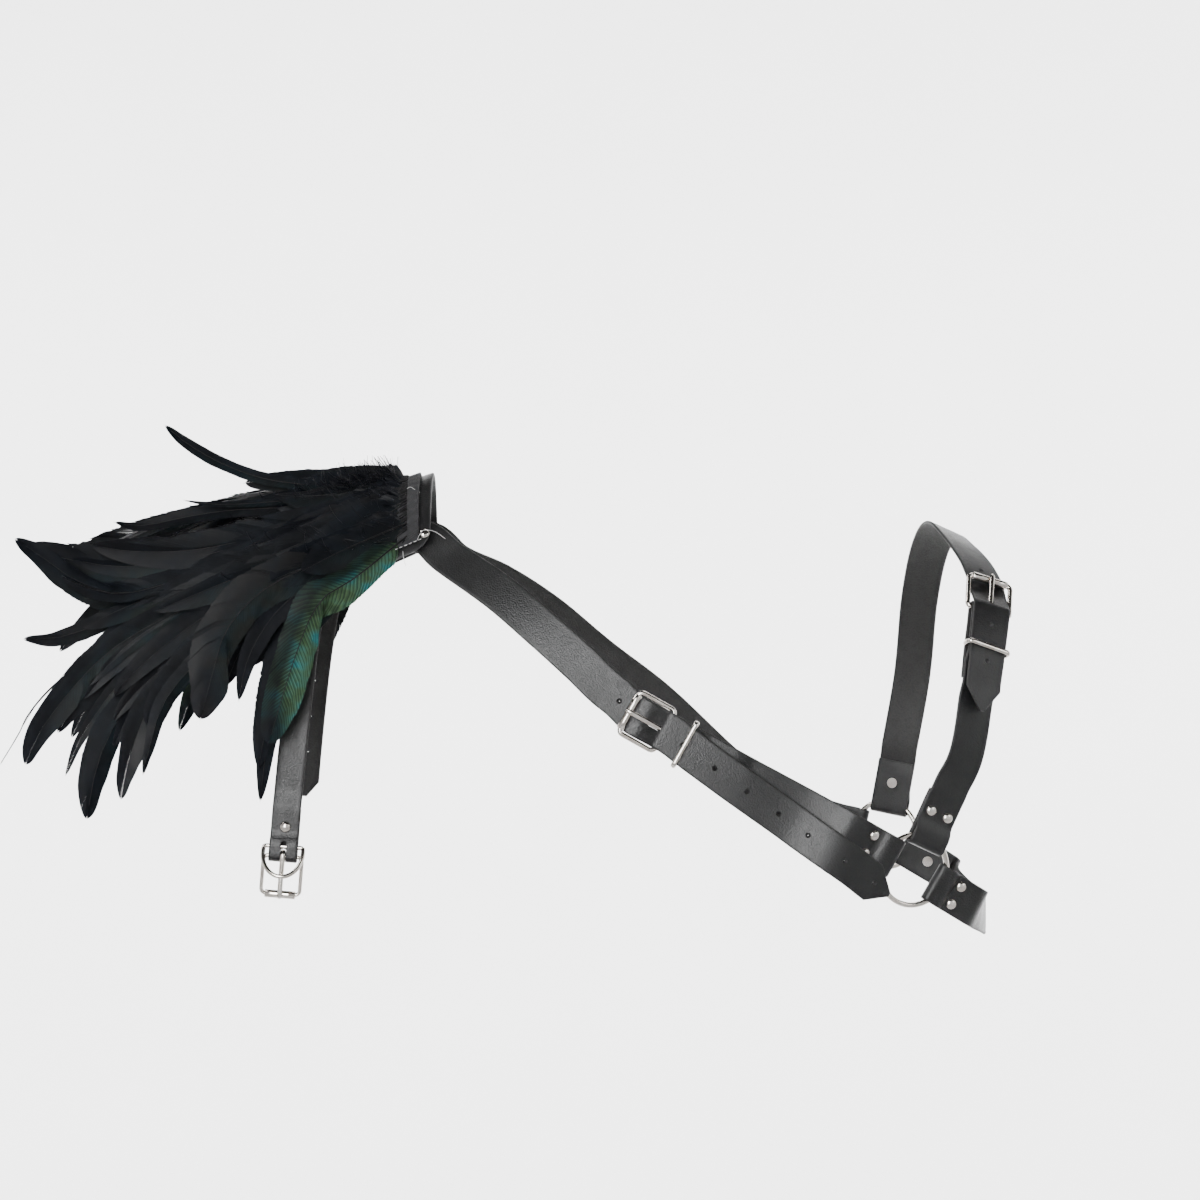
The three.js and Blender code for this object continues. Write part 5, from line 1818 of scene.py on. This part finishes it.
    def add_part(self, points: Array, faces: Iterable[Sequence[int]], along: Array, quill: float,
                 flank: Any, tones: Pair) -> None:
        """Adds points and faces of a quill (1) or of barbs (0), with what their finish reads there."""
        one = np.ones(len(along))
        self.draft.add(points, faces, along=along, quill=one * quill, flank=one * flank, tint=one * tones[0],
                       sheen=one * tones[1])

    def tones(self, feather: Feather) -> Pair:
        """Draws a feather's tint and how much green it shows."""
        tint, green = float(self.random.uniform(0, 0.7)), float(self.random.uniform(0, 0.06))
        if feather.kind is SHEEN:
            return tint * 0.3, 0.75 + 4.0 * green
        if feather.kind is DULL:
            return 1.0, 0.05
        return tint, green

    def outline(self, feather: Feather, u: Array) -> Array:
        """Gives half the width of a vane along its length.

        Args:
            feather: the feather.
            u: shares of its length.

        Returns:
            Half widths in millimetres.
        """
        body = np.interp(u, *VANE)
        start = lerp(0.45, 0.82, feather.blunt)
        past = np.clip((u - start) / (1 - start), 0, 1)
        end = np.sqrt(np.clip(1 - past ** lerp(1.25, 2.0, feather.blunt), 0, 1))
        return feather.width / 2 * body * lerp(end**1.6, end, feather.blunt)

    def add_barbs(
        self, frames: Frames, feather: Feather, length: float, way: float, tones: Pair
    ) -> None:
        """Adds the barbs on one side of a quill, in clumps that part from each other here and there.

        Args:
            frames: gives the quill's places and directions.
            feather: the feather.
            length: of its quill.
            way: which side, -1 or 1.
            tones: its tint and its green.
        """
        draw, style = self.random, self.style
        count = max(int(length * style.covered / style.pitch), style.fewest)
        t = np.linspace(*style.ends, count)
        place, heading, side, out = frames(t)
        clumps = np.cumsum(draw.random(count) < style.pitch / style.clump)
        total = int(clumps[-1]) + 1
        loose = style.loose if feather.kind is BROAD else 1.0
        calm = np.interp(t, *style.calm)
        lean = draw.normal(0, style.lean * loose, total)[clumps] * calm
        ragged = draw.normal(0, style.ragged * loose, total)[clumps] + draw.normal(0, style.fray, count)
        reach = np.clip(1 + ragged * calm, *style.reach)
        bent = draw.normal(0, style.bent * loose, total)[clumps] * calm
        gape = np.where(draw.random(total) < style.parted, *style.gape)[clumps] * loose * calm
        starts = np.searchsorted(clumps, np.arange(total))
        sizes = np.bincount(clumps, minlength=total)
        inside = (np.arange(count) - starts[clumps] + 0.5) / sizes[clumps] - 0.5
        fluff = np.clip(1 - t / style.fluff, 0, 1)
        tossed = fluff * draw.normal(style.toss, style.toss, count)
        angle = np.radians(np.interp(t, *style.angles) + lean - inside * gape + tossed)
        slope = 1 / np.tan(np.clip(angle, *style.steep))
        share = 1 + feather.uneven * way
        wide, most = np.zeros(count), np.full(count, share * feather.width / 2)
        for _ in range(style.halvings):
            trial = (wide + most) / 2
            fits = share * self.outline(feather, np.minimum(t + trial * slope / length, 1.0)) > trial
            wide, most = np.where(fits, trial, wide), np.where(fits, most, trial)
        wide = np.maximum(wide, style.least) * reach * (1 + style.fluffed * fluff)
        run = np.minimum(wide * slope, style.longest * feather.width)
        dip = wide * (style.dip + bent) + fluff * draw.normal(0, style.ruffle, count)
        aside = side * way

        def reached(far: float, off: float, deep: float) -> Array:
            """Finds a point of each barb at shares of its run, width and dip."""
            ahead, beside = heading * (run * far)[:, None], aside * (wide * off)[:, None]
            return place + ahead + beside + out * (dip * deep)[:, None]

        here = np.arange(count)
        before = np.maximum(here - 1, starts[clumps])
        after = np.minimum(here + 1, (starts + sizes - 1)[clumps])
        steps = np.maximum(after - before, 1)[:, None]
        close = lerp(1.0, style.thinned, fluff)[:, None]
        step = heading * (length * style.step / count)
        at_root, at_middle, at_tip = style.overlaps

        def half(points: Array, overlap: float) -> Array:
            """Gives half the width of each barb, from the way between its neighbours in the clump."""
            found = np.where(after[:, None] > before[:, None], (points[after] - points[before]) / steps, step)
            return found * overlap * close

        middle, tip = reached(*style.middle), reached(1.0, 1.0, 1.0)
        root_half, middle_half, tip_half = step * at_root, half(middle, at_middle), half(tip, at_tip)
        ridge = out * style.ridge
        points = np.stack([
            place - root_half - ridge, place + root_half + ridge, middle + middle_half + ridge,
            middle - middle_half - ridge, tip + tip_half, tip - tip_half,
        ], axis=1)
        corners = len(FLANK)
        base = np.arange(count)[:, None] * corners
        quads = np.concatenate([base + [0, 1, 2, 3], base + [3, 2, 4, 5]])
        if way > 0:
            quads = quads[:, ::-1]
        self.add_part(points, quads.tolist(), np.repeat(t, corners), 0.0, np.tile(FLANK, count) * way, tones)


@dataclass
class Down:
    """Loose down along the ribbon, most of it over the top of the shoulder."""

    pad: Pad
    strands: int = 1300
    length: float = 13.0
    wide: float = 0.3
    sizes: Pair = (0.5, 1.35)
    stray: Triple = (0.55, 0.55, 3.1)
    drift: float = 30.0
    farthest: float = 92.0
    on_top: float = 0.85
    top: float = 0.22
    reach: float = 0.93
    height: float = 6.5
    climb: float = 0.26
    climb_end: float = 60.0
    loft: Pair = (-2.0, 2.5)
    upright: float = 0.75
    sweep: Pair = (0.35, 1.3)
    seed: int = 5

    def tree(self) -> Repeat:
        """Builds the node tree that sets a bent strand on each point."""
        tree = Repeat("down", {"Length": self.length * MM, "Width": self.wide * MM})
        out, times = tree.graph.out, tree.graph.times

        def offset(size: str, x: float, z: float = 0.0) -> NodeSocket:
            """Gives a point at shares of one of the strand's sizes."""
            return out("ShaderNodeCombineXYZ", {0: times(tree[size], x), 2: times(tree[size], z)})

        arc = {"Middle": offset("Length", 0.12, 0.5), "End": offset("Length", 0.45, 0.85)}
        curve = out("GeometryNodeCurveQuadraticBezier", {"Resolution": 4, "Start": (0, 0, 0), **arc})
        flat = {"Start": offset("Width", -0.5), "End": offset("Width", 0.5)}
        ribbon = out("GeometryNodeCurvePrimitiveLine", flat)
        strand = out("GeometryNodeCurveToMesh", {"Curve": curve, "Profile Curve": ribbon})
        limits = {0: tuple(-a for a in self.stray), 1: self.stray, "Seed": self.seed}
        stray = out("FunctionNodeRandomValue", limits, data_type="FLOAT_VECTOR")
        spin = out("FunctionNodeEulerToRotation", {0: stray})
        upright = tree.aligned(tree.named("axis", "FLOAT_VECTOR"))
        turn = out("FunctionNodeRotateRotation", {0: upright, 1: spin}, rotation_space="LOCAL")
        small, large = self.sizes
        range_of = {2: small, 3: large, "Seed": self.seed + 1}
        size = tree.graph.add("FunctionNodeRandomValue", range_of, data_type="FLOAT").outputs[1]
        tree.close(tree.spread(tree["Points"], strand, turn, size))
        return tree

    def build(self) -> Object:
        """Sets bent strands over the roots of the feathers."""
        draw, count = np.random.default_rng(self.seed), self.strands
        far = draw.exponential(self.drift, count)
        middle = draw.random(count) < self.on_top
        near, wide = (draw.uniform(-end, end, count) for end in (self.top, self.reach))
        vs = np.where(middle, near, wide)
        xs = self.pad.tape_edge - self.pad.tape_width + 1.0 - np.minimum(far, self.farthest)
        heights = self.height + np.minimum(far, self.climb_end) * self.climb + draw.uniform(*self.loft, count)
        axes = unit(self.pad.normal(xs, vs) * self.upright - X_AXIS * draw.uniform(*self.sweep, (count, 1)))
        tones = {"along": np.full(count, 0.1), "tint": draw.uniform(0, 0.8, count)}
        carrier = carrier_mesh(self.pad.over(xs, vs, heights), axis=axes, **tones)
        return self.tree().make("plume_down", carrier, PLUMAGE_FINISH, 180.0)


TAPE_SEAM, EDGE_SEAM, EDGE_SEAM_AT, STITCH_RISE = 0.92, (-145.0, -168.0), -0.945, 0.15
LOOSE_UP, LOOSE_THICK = np.array([0.13, 0.91, 0.39]), 0.17  # a way that none of them takes; their radius
LOOSE_THREADS = (
    ((-146, -73, 38), (-144.4, -77, 41), (-142, -79, 44), (-138.3, -80, 44.2), (-134, -81, 43),
     (-127.7, -82, 38.7)),
    ((-156, -40, 70), (-152, -41, 72.5), (-149, -42, 71), (-145.5, -42, 69)),
    ((-161, -52, 60), (-163, -54, 58), (-165, -55, 57.5)),
    ((-155, -73, 31), (-154.5, -76, 27), (-153, -76, 21.5)),
)

# The whole harness


@dataclass(frozen=True)
class Fastening:
    """Where two straps meet in a fastened buckle, along their line from the back ring.

    bar is the place of the buckle's bar and keeper the way back from it to the keeper. The tail ends at
    tip and drifts to the side by wander for each millimetre. Its holes start at first_hole past the bar and
    leave out one at the prong's. lie is how it lies at the roller, sag and rise how it bends to its tip.
    """

    bar: float
    keeper: float
    tip: float
    wander: float
    holes: int
    first_hole: float
    free: float = 47.0
    lie: Pair = (14.0, -6.0)
    sag: Pair = (0.45, 1.0)
    rise: float = 0.9
    prong_hole: Pair = (7.5, 8.0)

    @property
    def roller(self) -> float:
        """The place of the roller."""
        return self.bar + BUCKLE.reach

    def sway(self, s: float) -> float:
        """Gives how far the tail has drifted to the side."""
        return self.wander * (self.bar - s if s < self.bar else 2.0 * min(self.roller - s, 0.0))

    def tail(self) -> list[Pair]:
        """Lists the side view of the tail from the roller to its tip."""
        past = self.bar - self.keeper - FOLD_RISE
        rows = [(self.roller + far, UNDER) for far in self.lie]
        bend = turn_about(self.bar, BAR_LEVEL, OVER_BUCKLE - BAR_LEVEL, 40, 90)[2:]
        rows += [(s, lift) for s, lift, _ in bend]
        share, deep = self.sag
        rows += [(past, OVER_BUCKLE), (lerp(past, self.tip, share), OVER_BUCKLE - deep)]
        return [*rows, (self.tip, OVER_BUCKLE + self.rise)]


BACK_FASTENING = Fastening(bar=181.0, keeper=15.0, tip=10.0, wander=0.125, holes=9, first_hole=34.0)
SHOULDER_FASTENING = Fastening(bar=173.0, keeper=27.0, tip=107.0, wander=0.0, holes=4, first_hole=36.0)


@dataclass
class Harness:
    """The straps, buckles, rings and rivets of the harness, with its pad and feathers."""

    pad: Pad = field(default_factory=Pad)
    rivets: Rivets = field(default_factory=Rivets)
    back_ring: Skin = skin(165, -101, -168.4, 20, -8)
    front_ring: Skin = skin(163, 118, -160, 20, 180)
    back_rows: Table = (
        (95, -117, -128.5, 6, -2), (57, -119, -108, 2, 0), (10.5, -118, -82.2, 0, 3),
        (-13, -116.5, -69, 0, 4), (-28, -115, -58.5, 0, 6), (-45, -112, -42, -1, 10),
        (-69.5, -104, -19.5, -3, 17), (-94, -93, 2, -5, 26), (-127, -75, 26, -8, 37),
    )
    shoulder_rows: Table = (
        (198, -102, -100, 27, 2), (205, -100, -63, 28, 10), (209, -92, -36, 26, 21), (214, -78, -9.5, 21, 32),
        (215.5, -67, 5, 20, 39), (211, -50, 21, 24, 50), (201, -24, 37, 26, 68), (194, 6, 45, 24, 90),
        (189, 46, 34, 20, 118), (185, 86, 0, 18, 146), (182, 112, -52, 17, 168),
    )
    side_rows: Table = (
        (213, -52, -200, 68, 0), (218, -12, -204, 86, 0), (216, 34, -201, 100, 0), (208, 70, -193, 116, 0),
    )
    front_rows: Table = (
        (92, 134, -142, 6, 180), (56, 137, -112, 2, 180), (9, 134, -68, 0, 177), (-30, 126, -38, 0, 172),
        (-66, 110, -8, -3, 163), (-98, 89, 13, -5, 153), (-127, 61, 27, -8, 143),
    )
    arm_rows: Table = (
        (-215, -82, -18, 0, 6), (-218, -84, -40, 0, 3), (-222, -86, -77, 0, 2), (-226, -87, -117, 0, 0),
        (-229.5, -87, -159, 0, 0), (-232, -87, -190, 0, 0),
    )
    arm_front_rows: Table = (
        (-216, 73, -18, 0, 174), (-220, 76, -44, 0, 178), (-226, 78, -100, 0, 180), (-231, 78, -160, 0, 180),
    )
    pad_rivets: dict[str, Pair] = field(default_factory=lambda: {
        "back": (-142, -0.9), "front": (-142, 0.9), "arm": (-208, -0.78), "arm_front": (-208, 0.78),
    })
    strap_tuck: Pair = (-164, 0.78)
    arm_tuck: tuple[Pair, ...] = ((-206, 0.66), (-211, 0.9))
    ring_rivet: dict[str, float] = field(default_factory=lambda: {
        "back": 36.0, "shoulder": 38.0, "side": 35.0, "front": 36.0,
    })
    arm_bar: float = 195.0
    arm_rivet: float = 18.5
    arm_free: float = 30.0
    arm_hang: float = 1.6
    arm_flat: Pair = (0.0, 40.0)
    keeper_room: float = 2.0
    arm_front_length: float = 168.0
    arm_front_first: float = 66.0
    arm_front_holes: int = 4

    def __post_init__(self) -> None:
        """Fits the lines that the straps follow."""
        tuck_x, tuck_v = self.strap_tuck
        self.back = self.to_pad(self.back_ring, self.back_rows, "back", (tuck_x, -tuck_v))
        self.shoulder = self.to_ring(self.shoulder_rows)
        self.side = self.to_ring(self.side_rows)
        self.front = self.to_pad(self.front_ring, self.front_rows, "front", (tuck_x, tuck_v))
        self.arm = self.from_pad(self.arm_rows, -1)
        self.arm_front = self.from_pad(self.arm_front_rows, 1)

    def to_pad(self, ring: Skin, table: Sequence[Sequence[float]], rivet: str, tuck: Pair) -> BodyLine:
        """Fits a line from a ring to its rivet under the pad and on to where it is tucked in."""
        rows = [skin(*row) for row in table]
        ends = [self.pad.under(*self.pad_rivets[rivet]), self.pad.under(*tuck)]
        return BodyLine([*from_ring(ring, rows[0]), *rows, *ends])

    def to_ring(self, table: Sequence[Sequence[float]]) -> BodyLine:
        """Fits a line from the back ring to the front ring."""
        rows = [skin(*row) for row in table]
        end = from_ring(self.front_ring, rows[-1])[::-1]
        return BodyLine([*from_ring(self.back_ring, rows[0]), *rows, *end])

    def from_pad(self, table: Sequence[Sequence[float]], way: int) -> BodyLine:
        """Fits a line from under the pad down the arm, behind it (-1) or in front of it (1)."""
        tucked = [self.pad.under(x, way * v) for x, v in self.arm_tuck]
        return BodyLine([*tucked, *(skin(*row) for row in table)])

    def strap(
        self, node: str, line: BodyLine, rows: Sequence[Row], cutter: Draft, stock: Stock = STRAP,
        pointed: bool = False, grain: int = 1,
    ) -> None:
        """Makes one strap with its holes and hands it in.

        Args:
            node: the solid it stands for.
            line: where it lies.
            rows: its side view.
            cutter: plugs of its holes.
            stock: its sizes.
            pointed: whether its last end is cut to a point.
            grain: which side of its side view is the finished face.
        """
        draft = strap_draft(line, rows, stock, pointed, grain)
        piece = punched(draft.build(f"{node}_leather", STRAP_FINISH.material()), cutter)
        settle(piece, Slot.STRAP, [node])

    def buckled(self, name: str, line: BodyLine, fit: Fastening, far_rows: Sequence[Row]) -> None:
        """Makes two straps that meet in a fastened buckle, with their metal.

        Args:
            name: of the buckle.
            line: where the straps lie, from the back ring.
            fit: where they meet on it.
            far_rows: side view of the tail's far end.
        """
        rivet, bar, keeper = self.ring_rivet[name], fit.bar, fit.bar - fit.keeper
        cutter = Draft()
        add_plug(cutter, line.spot(bar + SLOT_AHEAD), BUCKLE.prong + SLOT_EASE, SLOT_DEEP, SLOT_LONG)
        rows = ring_end(rivet) + bar_end(bar, fit.keeper + FOLD_POCKET, fit.free)
        self.strap(f"{name}_buckle_strap", line, rows, cutter)

        tail = fit.tail()
        rows = [*far_rows, *((s, lift, fit.sway(s)) for s, lift in tail)]
        cutter = Draft()
        at, clear = fit.prong_hole
        for i in range(fit.holes):
            s = bar + fit.first_hole - i * HOLE_PITCH
            if abs(s - bar - at) > clear:
                lift = float(np.interp(s, *zip(*tail[::-1])))
                add_plug(cutter, line.spot(s, lift, fit.sway(s)), HOLE_RADIUS, narrow=HOLE_CLOSED)
        radius = BUCKLE.prong * BUCKLE.flat + PRONG_HOLE_EASE
        add_plug(cutter, line.spot(bar + PRONG_HOLE_AHEAD), radius, PRONG_HOLE_DEEP, PRONG_HOLE_LONG)
        self.strap(f"{name}_tail_strap", line, rows, cutter, pointed=True, grain=-1)

        Buckle(name, buckle_spot(line, bar, BUCKLE, ROLLER_LEVEL), BUCKLE).build()
        drift = fit.sway(keeper)
        piece = keeper_piece(f"{name}_keeper_nickel", line.spot(keeper, 0.0, drift / 2), drift)
        settle(piece, Slot.NICKEL, [f"{name}_keeper"])
        self.rivets.pair(f"{name}_ring_rivet", line, rivet)
        self.rivets.add(f"{name}_fold_rivet", line.spot(keeper - FOLD_RIVET, RIVET_LEVEL))

    def build_straps(self) -> None:
        """Makes the body straps and their metal."""
        side_rivet, end = self.ring_rivet["side"], self.ring_rivet["front"]
        self.buckled("back", self.back, BACK_FASTENING, [(self.back.length, UNDER, 0.0)])
        self.buckled("shoulder", self.shoulder, SHOULDER_FASTENING, ring_end(end, self.shoulder.length, -1))

        cutter = Draft()
        for edge in (-1, 1):
            add_plug(cutter, self.side.spot(side_rivet, 0.0, edge * RIVET_PAIR), RIVET_SHANK + SHANK_EASE)
        rows = ring_end(side_rivet) + ring_end(end, self.side.length, -1)[::-1]
        self.strap("side_strap", self.side, rows, cutter)
        cutter = Draft()
        add_plug(cutter, self.front.spot(end), RIVET_SHANK + SHANK_EASE)
        self.strap("front_strap", self.front, [*ring_end(end), (self.front.length, UNDER, 0.0)], cutter)

        for name, line in (("back_ring", self.back), ("front_ring", self.front)):
            settle(ring_piece(f"{name}_nickel", line.spot(0.0, RING_LEVEL)), Slot.NICKEL, [name])
        self.rivets.pair("side_ring_rivet", self.side, side_rivet)
        self.rivets.add("side_front_rivet", self.side.spot(self.side.length - end, RIVET_LEVEL))
        self.rivets.add("shoulder_front_rivet", self.shoulder.spot(self.shoulder.length - end, RIVET_LEVEL))
        self.rivets.add("front_ring_rivet", self.front.spot(end, RIVET_LEVEL))

    def build_arm(self) -> None:
        """Makes the open arm strap: its buckle half behind the arm and its plain half in front."""
        keeper = DropKeeper()
        cutter = Draft(crossing=True)
        prong, bar = ARM_BUCKLE.prong, self.arm_bar
        add_plug(cutter, self.arm.spot(bar + SLOT_AHEAD), prong + SLOT_EASE, SLOT_DEEP, SLOT_LONG)
        outer = self.arm.spot(bar + ARM_SLOT_AHEAD, OVER_BAR)
        add_plug(cutter, outer, prong + ARM_SLOT_EASE, ARM_SLOT_DEEP, ARM_SLOT_LONG, sides=22)
        rows = [(s, UNDER, 0.0) for s in self.arm_flat]
        rows += bar_end(bar, keeper.back + self.keeper_room, self.arm_free)
        self.strap("arm_strap", self.arm, rows, cutter, ARM_STRAP)
        spot = buckle_spot(self.arm, bar, ARM_BUCKLE, BAR_LEVEL - self.arm_hang)
        Buckle("arm", spot, ARM_BUCKLE, (Body.BUCKLE, Body.ROLLER, Body.PRONG)).build()
        self.rivets.add("arm_rivet", self.arm.spot(bar - self.arm_rivet, RIVET_LEVEL))
        piece = keeper.build(self.arm.spot(bar - keeper.back, BAR_LEVEL))
        settle(piece, Slot.NICKEL, ["arm_keeper"], Body.KEEPER)

        cutter = Draft()
        for i in range(self.arm_front_holes):
            spot = self.arm_front.spot(self.arm_front_first + i * HOLE_PITCH, UNDER)
            add_plug(cutter, spot, HOLE_RADIUS, narrow=HOLE_CLOSED)
        rows = [(s, UNDER, 0.0) for s in (*self.arm_flat, self.arm_front_length)]
        self.strap("arm_front_strap", self.arm_front, rows, cutter, ARM_STRAP, pointed=True)

    def build_pad(self) -> None:
        """Makes the pad and sets the rivets."""
        settle(self.pad.build(), Slot.PAD, ["shoulder_pad"])
        grip = STRAP.thick + self.pad.clear + self.pad.thick + GAP
        for name, place in self.pad_rivets.items():
            self.rivets.add(f"{name}_pad_rivet", self.pad.spot(*place), grip)
        settle(self.rivets.build(), Slot.NICKEL, self.rivets.nodes)

    def plume(self, part: str, *sizes: Any, **counts: Any) -> Plume:
        """Opens one part of the feather trim."""
        return Plume(f"plume_{part}", f"feather_trim_{part}", self.pad, *sizes, **counts)

    def build_feathers(self) -> None:
        """Makes the ribbon and the three fans of feathers."""
        rear, fore = (0.0, -1.0, 0.1), (0.0, 1.0, 0.1)
        plumes = (
            self.plume("back", BACK_FEATHERS, (-0.84, -0.28), rear, fillers=52, covers=36, seed=11),
            self.plume("top", TOP_FEATHERS, (-0.27, 0.27), rear, fillers=26, covers=22, seed=23, tall=0.42),
            self.plume("front", FRONT_FEATHERS, (0.28, 0.84), fore, fillers=40, covers=28, seed=37),
        )
        for plume in plumes:
            settle(plume.build(), Slot.PLUMAGE, [plume.node])
        settle(self.pad.build_tape(), Slot.PLUMAGE, [plume.node for plume in plumes])
        settle(Down(self.pad).build(), Slot.PLUMAGE, [])
        self.build_thread()

    def build_thread(self) -> None:
        """Sews the ribbon down along both its edges and leaves a few thread ends loose."""
        height = self.pad.tape_height() + self.pad.tape_thick / 2 + STITCH_RISE
        vs = np.linspace(-TAPE_SEAM, TAPE_SEAM, 160)
        insets = (1.6, self.pad.tape_width - 1.8)
        runs = [self.pad.over(self.pad.tape_edge - inset, vs, height) for inset in insets]
        settle(stitch_piece("tape_stitches", runs, 3.2, 2.4, 0.22, BLACK_THREAD), Slot.PLUMAGE, [])
        run = self.pad.over(np.linspace(*EDGE_SEAM, 24), EDGE_SEAM_AT, height)
        settle(stitch_piece("edge_stitches", [run], 3.0, 2.5, 0.3, PALE_THREAD), Slot.PLUMAGE, [])
        draft = Draft()
        for ends in LOOSE_THREADS:
            curve = SmoothCurve(np.array(ends, dtype=float))
            line = np.array([curve.point(i / 24) for i in range(25)])
            draft.add(*swept(wire(line, LOOSE_UP, LOOSE_THICK, 6, False)))
        settle(draft.build("loose_threads", PALE_THREAD.material(), 60.0), Slot.PLUMAGE, [])


# Studio


@dataclass(frozen=True)
class FloorFinish(Finish):
    """Pale matt paper."""

    name: str = "pale_paper"

    def dress(self, graph: Graph, shader: Node) -> None:
        """Feeds the shader."""
        clouds = graph.noise(graph.place(), 3.0, 2.0)
        graph.feed(shader, {
            "Base Color": graph.blend(clouds, colour(0.7, 0.7, 0.7), colour(0.74, 0.74, 0.74)),
            "Roughness": 0.9,
            "Specular IOR Level": 0.2,
        })


@dataclass
class Studio:
    """The camera, soft lights and a pale floor that curves up far away."""

    eye: Triple = (0.140, -2.605, -0.0678)
    lens: float = 120.0
    sensor: float = 36.0
    sight: float = 60.0
    floor: float = -2.6
    radius: float = 6.0
    bend: float = 1.2
    wall: float = 6.0
    sides: int = 64
    world: float = 0.05

    def build(self) -> None:
        """Sets the studio up."""
        self.build_camera()
        self.build_floor()
        self.build_lights()

    def build_camera(self) -> None:
        """Puts the camera behind the wearer, level and straight on."""
        data = bpy.data.cameras.new("camera")
        data.lens = self.lens
        data.sensor_width = self.sensor
        data.clip_end = self.sight
        camera = bpy.data.objects.new("camera", data)
        camera.location = self.eye
        camera.rotation_euler = (math.radians(90), 0.0, 0.0)
        bpy.context.scene.collection.objects.link(camera)
        bpy.context.scene.camera = camera

    def build_floor(self) -> None:
        """Makes a floor that turns up into a round wall."""
        bend, flat = self.bend, self.radius - self.bend
        profile = [(0.02, self.floor), (1.5, self.floor), (flat, self.floor)]
        angles = np.linspace(0, math.pi / 2, 14)[1:]
        profile += [(flat + bend * math.sin(a), self.floor + bend * (1 - math.cos(a))) for a in angles]
        profile.append((self.radius, self.floor + self.wall))
        points = [[(r * math.cos(a), r * math.sin(a), z) for a in round_turn(self.sides)] for r, z in profile]
        faces = grid_faces(len(profile), self.sides)[:-1]
        mesh = bpy.data.meshes.new("floor")
        mesh.from_pydata(np.array(points).reshape(-1, 3).tolist(), [], faces)
        placed("floor", mesh, FloorFinish().material(), 60.0)

    def build_lights(self) -> None:
        """Hangs large soft lights and a pale sky."""
        world = bpy.data.worlds.new("sky")
        bpy.context.scene.world = world
        world.use_nodes = True
        world.node_tree.nodes["Background"].inputs[0].default_value = colour(1.0, 1.0, 1.0)
        world.node_tree.nodes["Background"].inputs[1].default_value = self.world
        middle = (0.0, 0.0, -0.1)
        lamps = (
            ("strip", (-0.5, -3.1, 0.75), middle, (0.9, 2.4), 125.0),
            ("key", (-1.35, -0.15, 1.85), middle, (0.8, 0.8), 22.0),
            ("fill", (2.3, -1.2, 0.8), middle, (0.9, 0.9), 8.0),
            ("crown", (0.9, 1.3, 2.0), middle, (1.2, 1.2), 18.0),
            ("wash_left", (-1.9, 1.6, 0.3), (-0.7, 6.0, -0.1), (1.2, 1.2), 640.0),
            ("wash_right", (2.1, 1.6, 0.3), (1.0, 6.0, -0.1), (1.2, 1.2), 640.0),
            ("wash_front", (0.0, -2.8, 2.4), (0.0, -6.0, 0.4), (1.2, 1.2), 10.0),
        )
        for name, place, target, size, power in lamps:
            data = bpy.data.lights.new(name, "AREA")
            data.shape = "RECTANGLE"
            data.size, data.size_y = size
            data.energy = power
            lamp = bpy.data.objects.new(name, data)
            lamp.location = place
            lamp.rotation_euler = (Vector(target) - Vector(place)).to_track_quat("-Z", "Y").to_euler()
            lamp.visible_camera = False
            bpy.context.scene.collection.objects.link(lamp)


def main() -> None:
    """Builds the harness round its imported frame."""
    logging.basicConfig(level=logging.INFO, format="%(message)s")
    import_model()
    Studio().build()
    harness = Harness()
    harness.build_straps()
    harness.build_arm()
    harness.build_pad()
    harness.build_feathers()


if __name__ == "__main__":
    main()
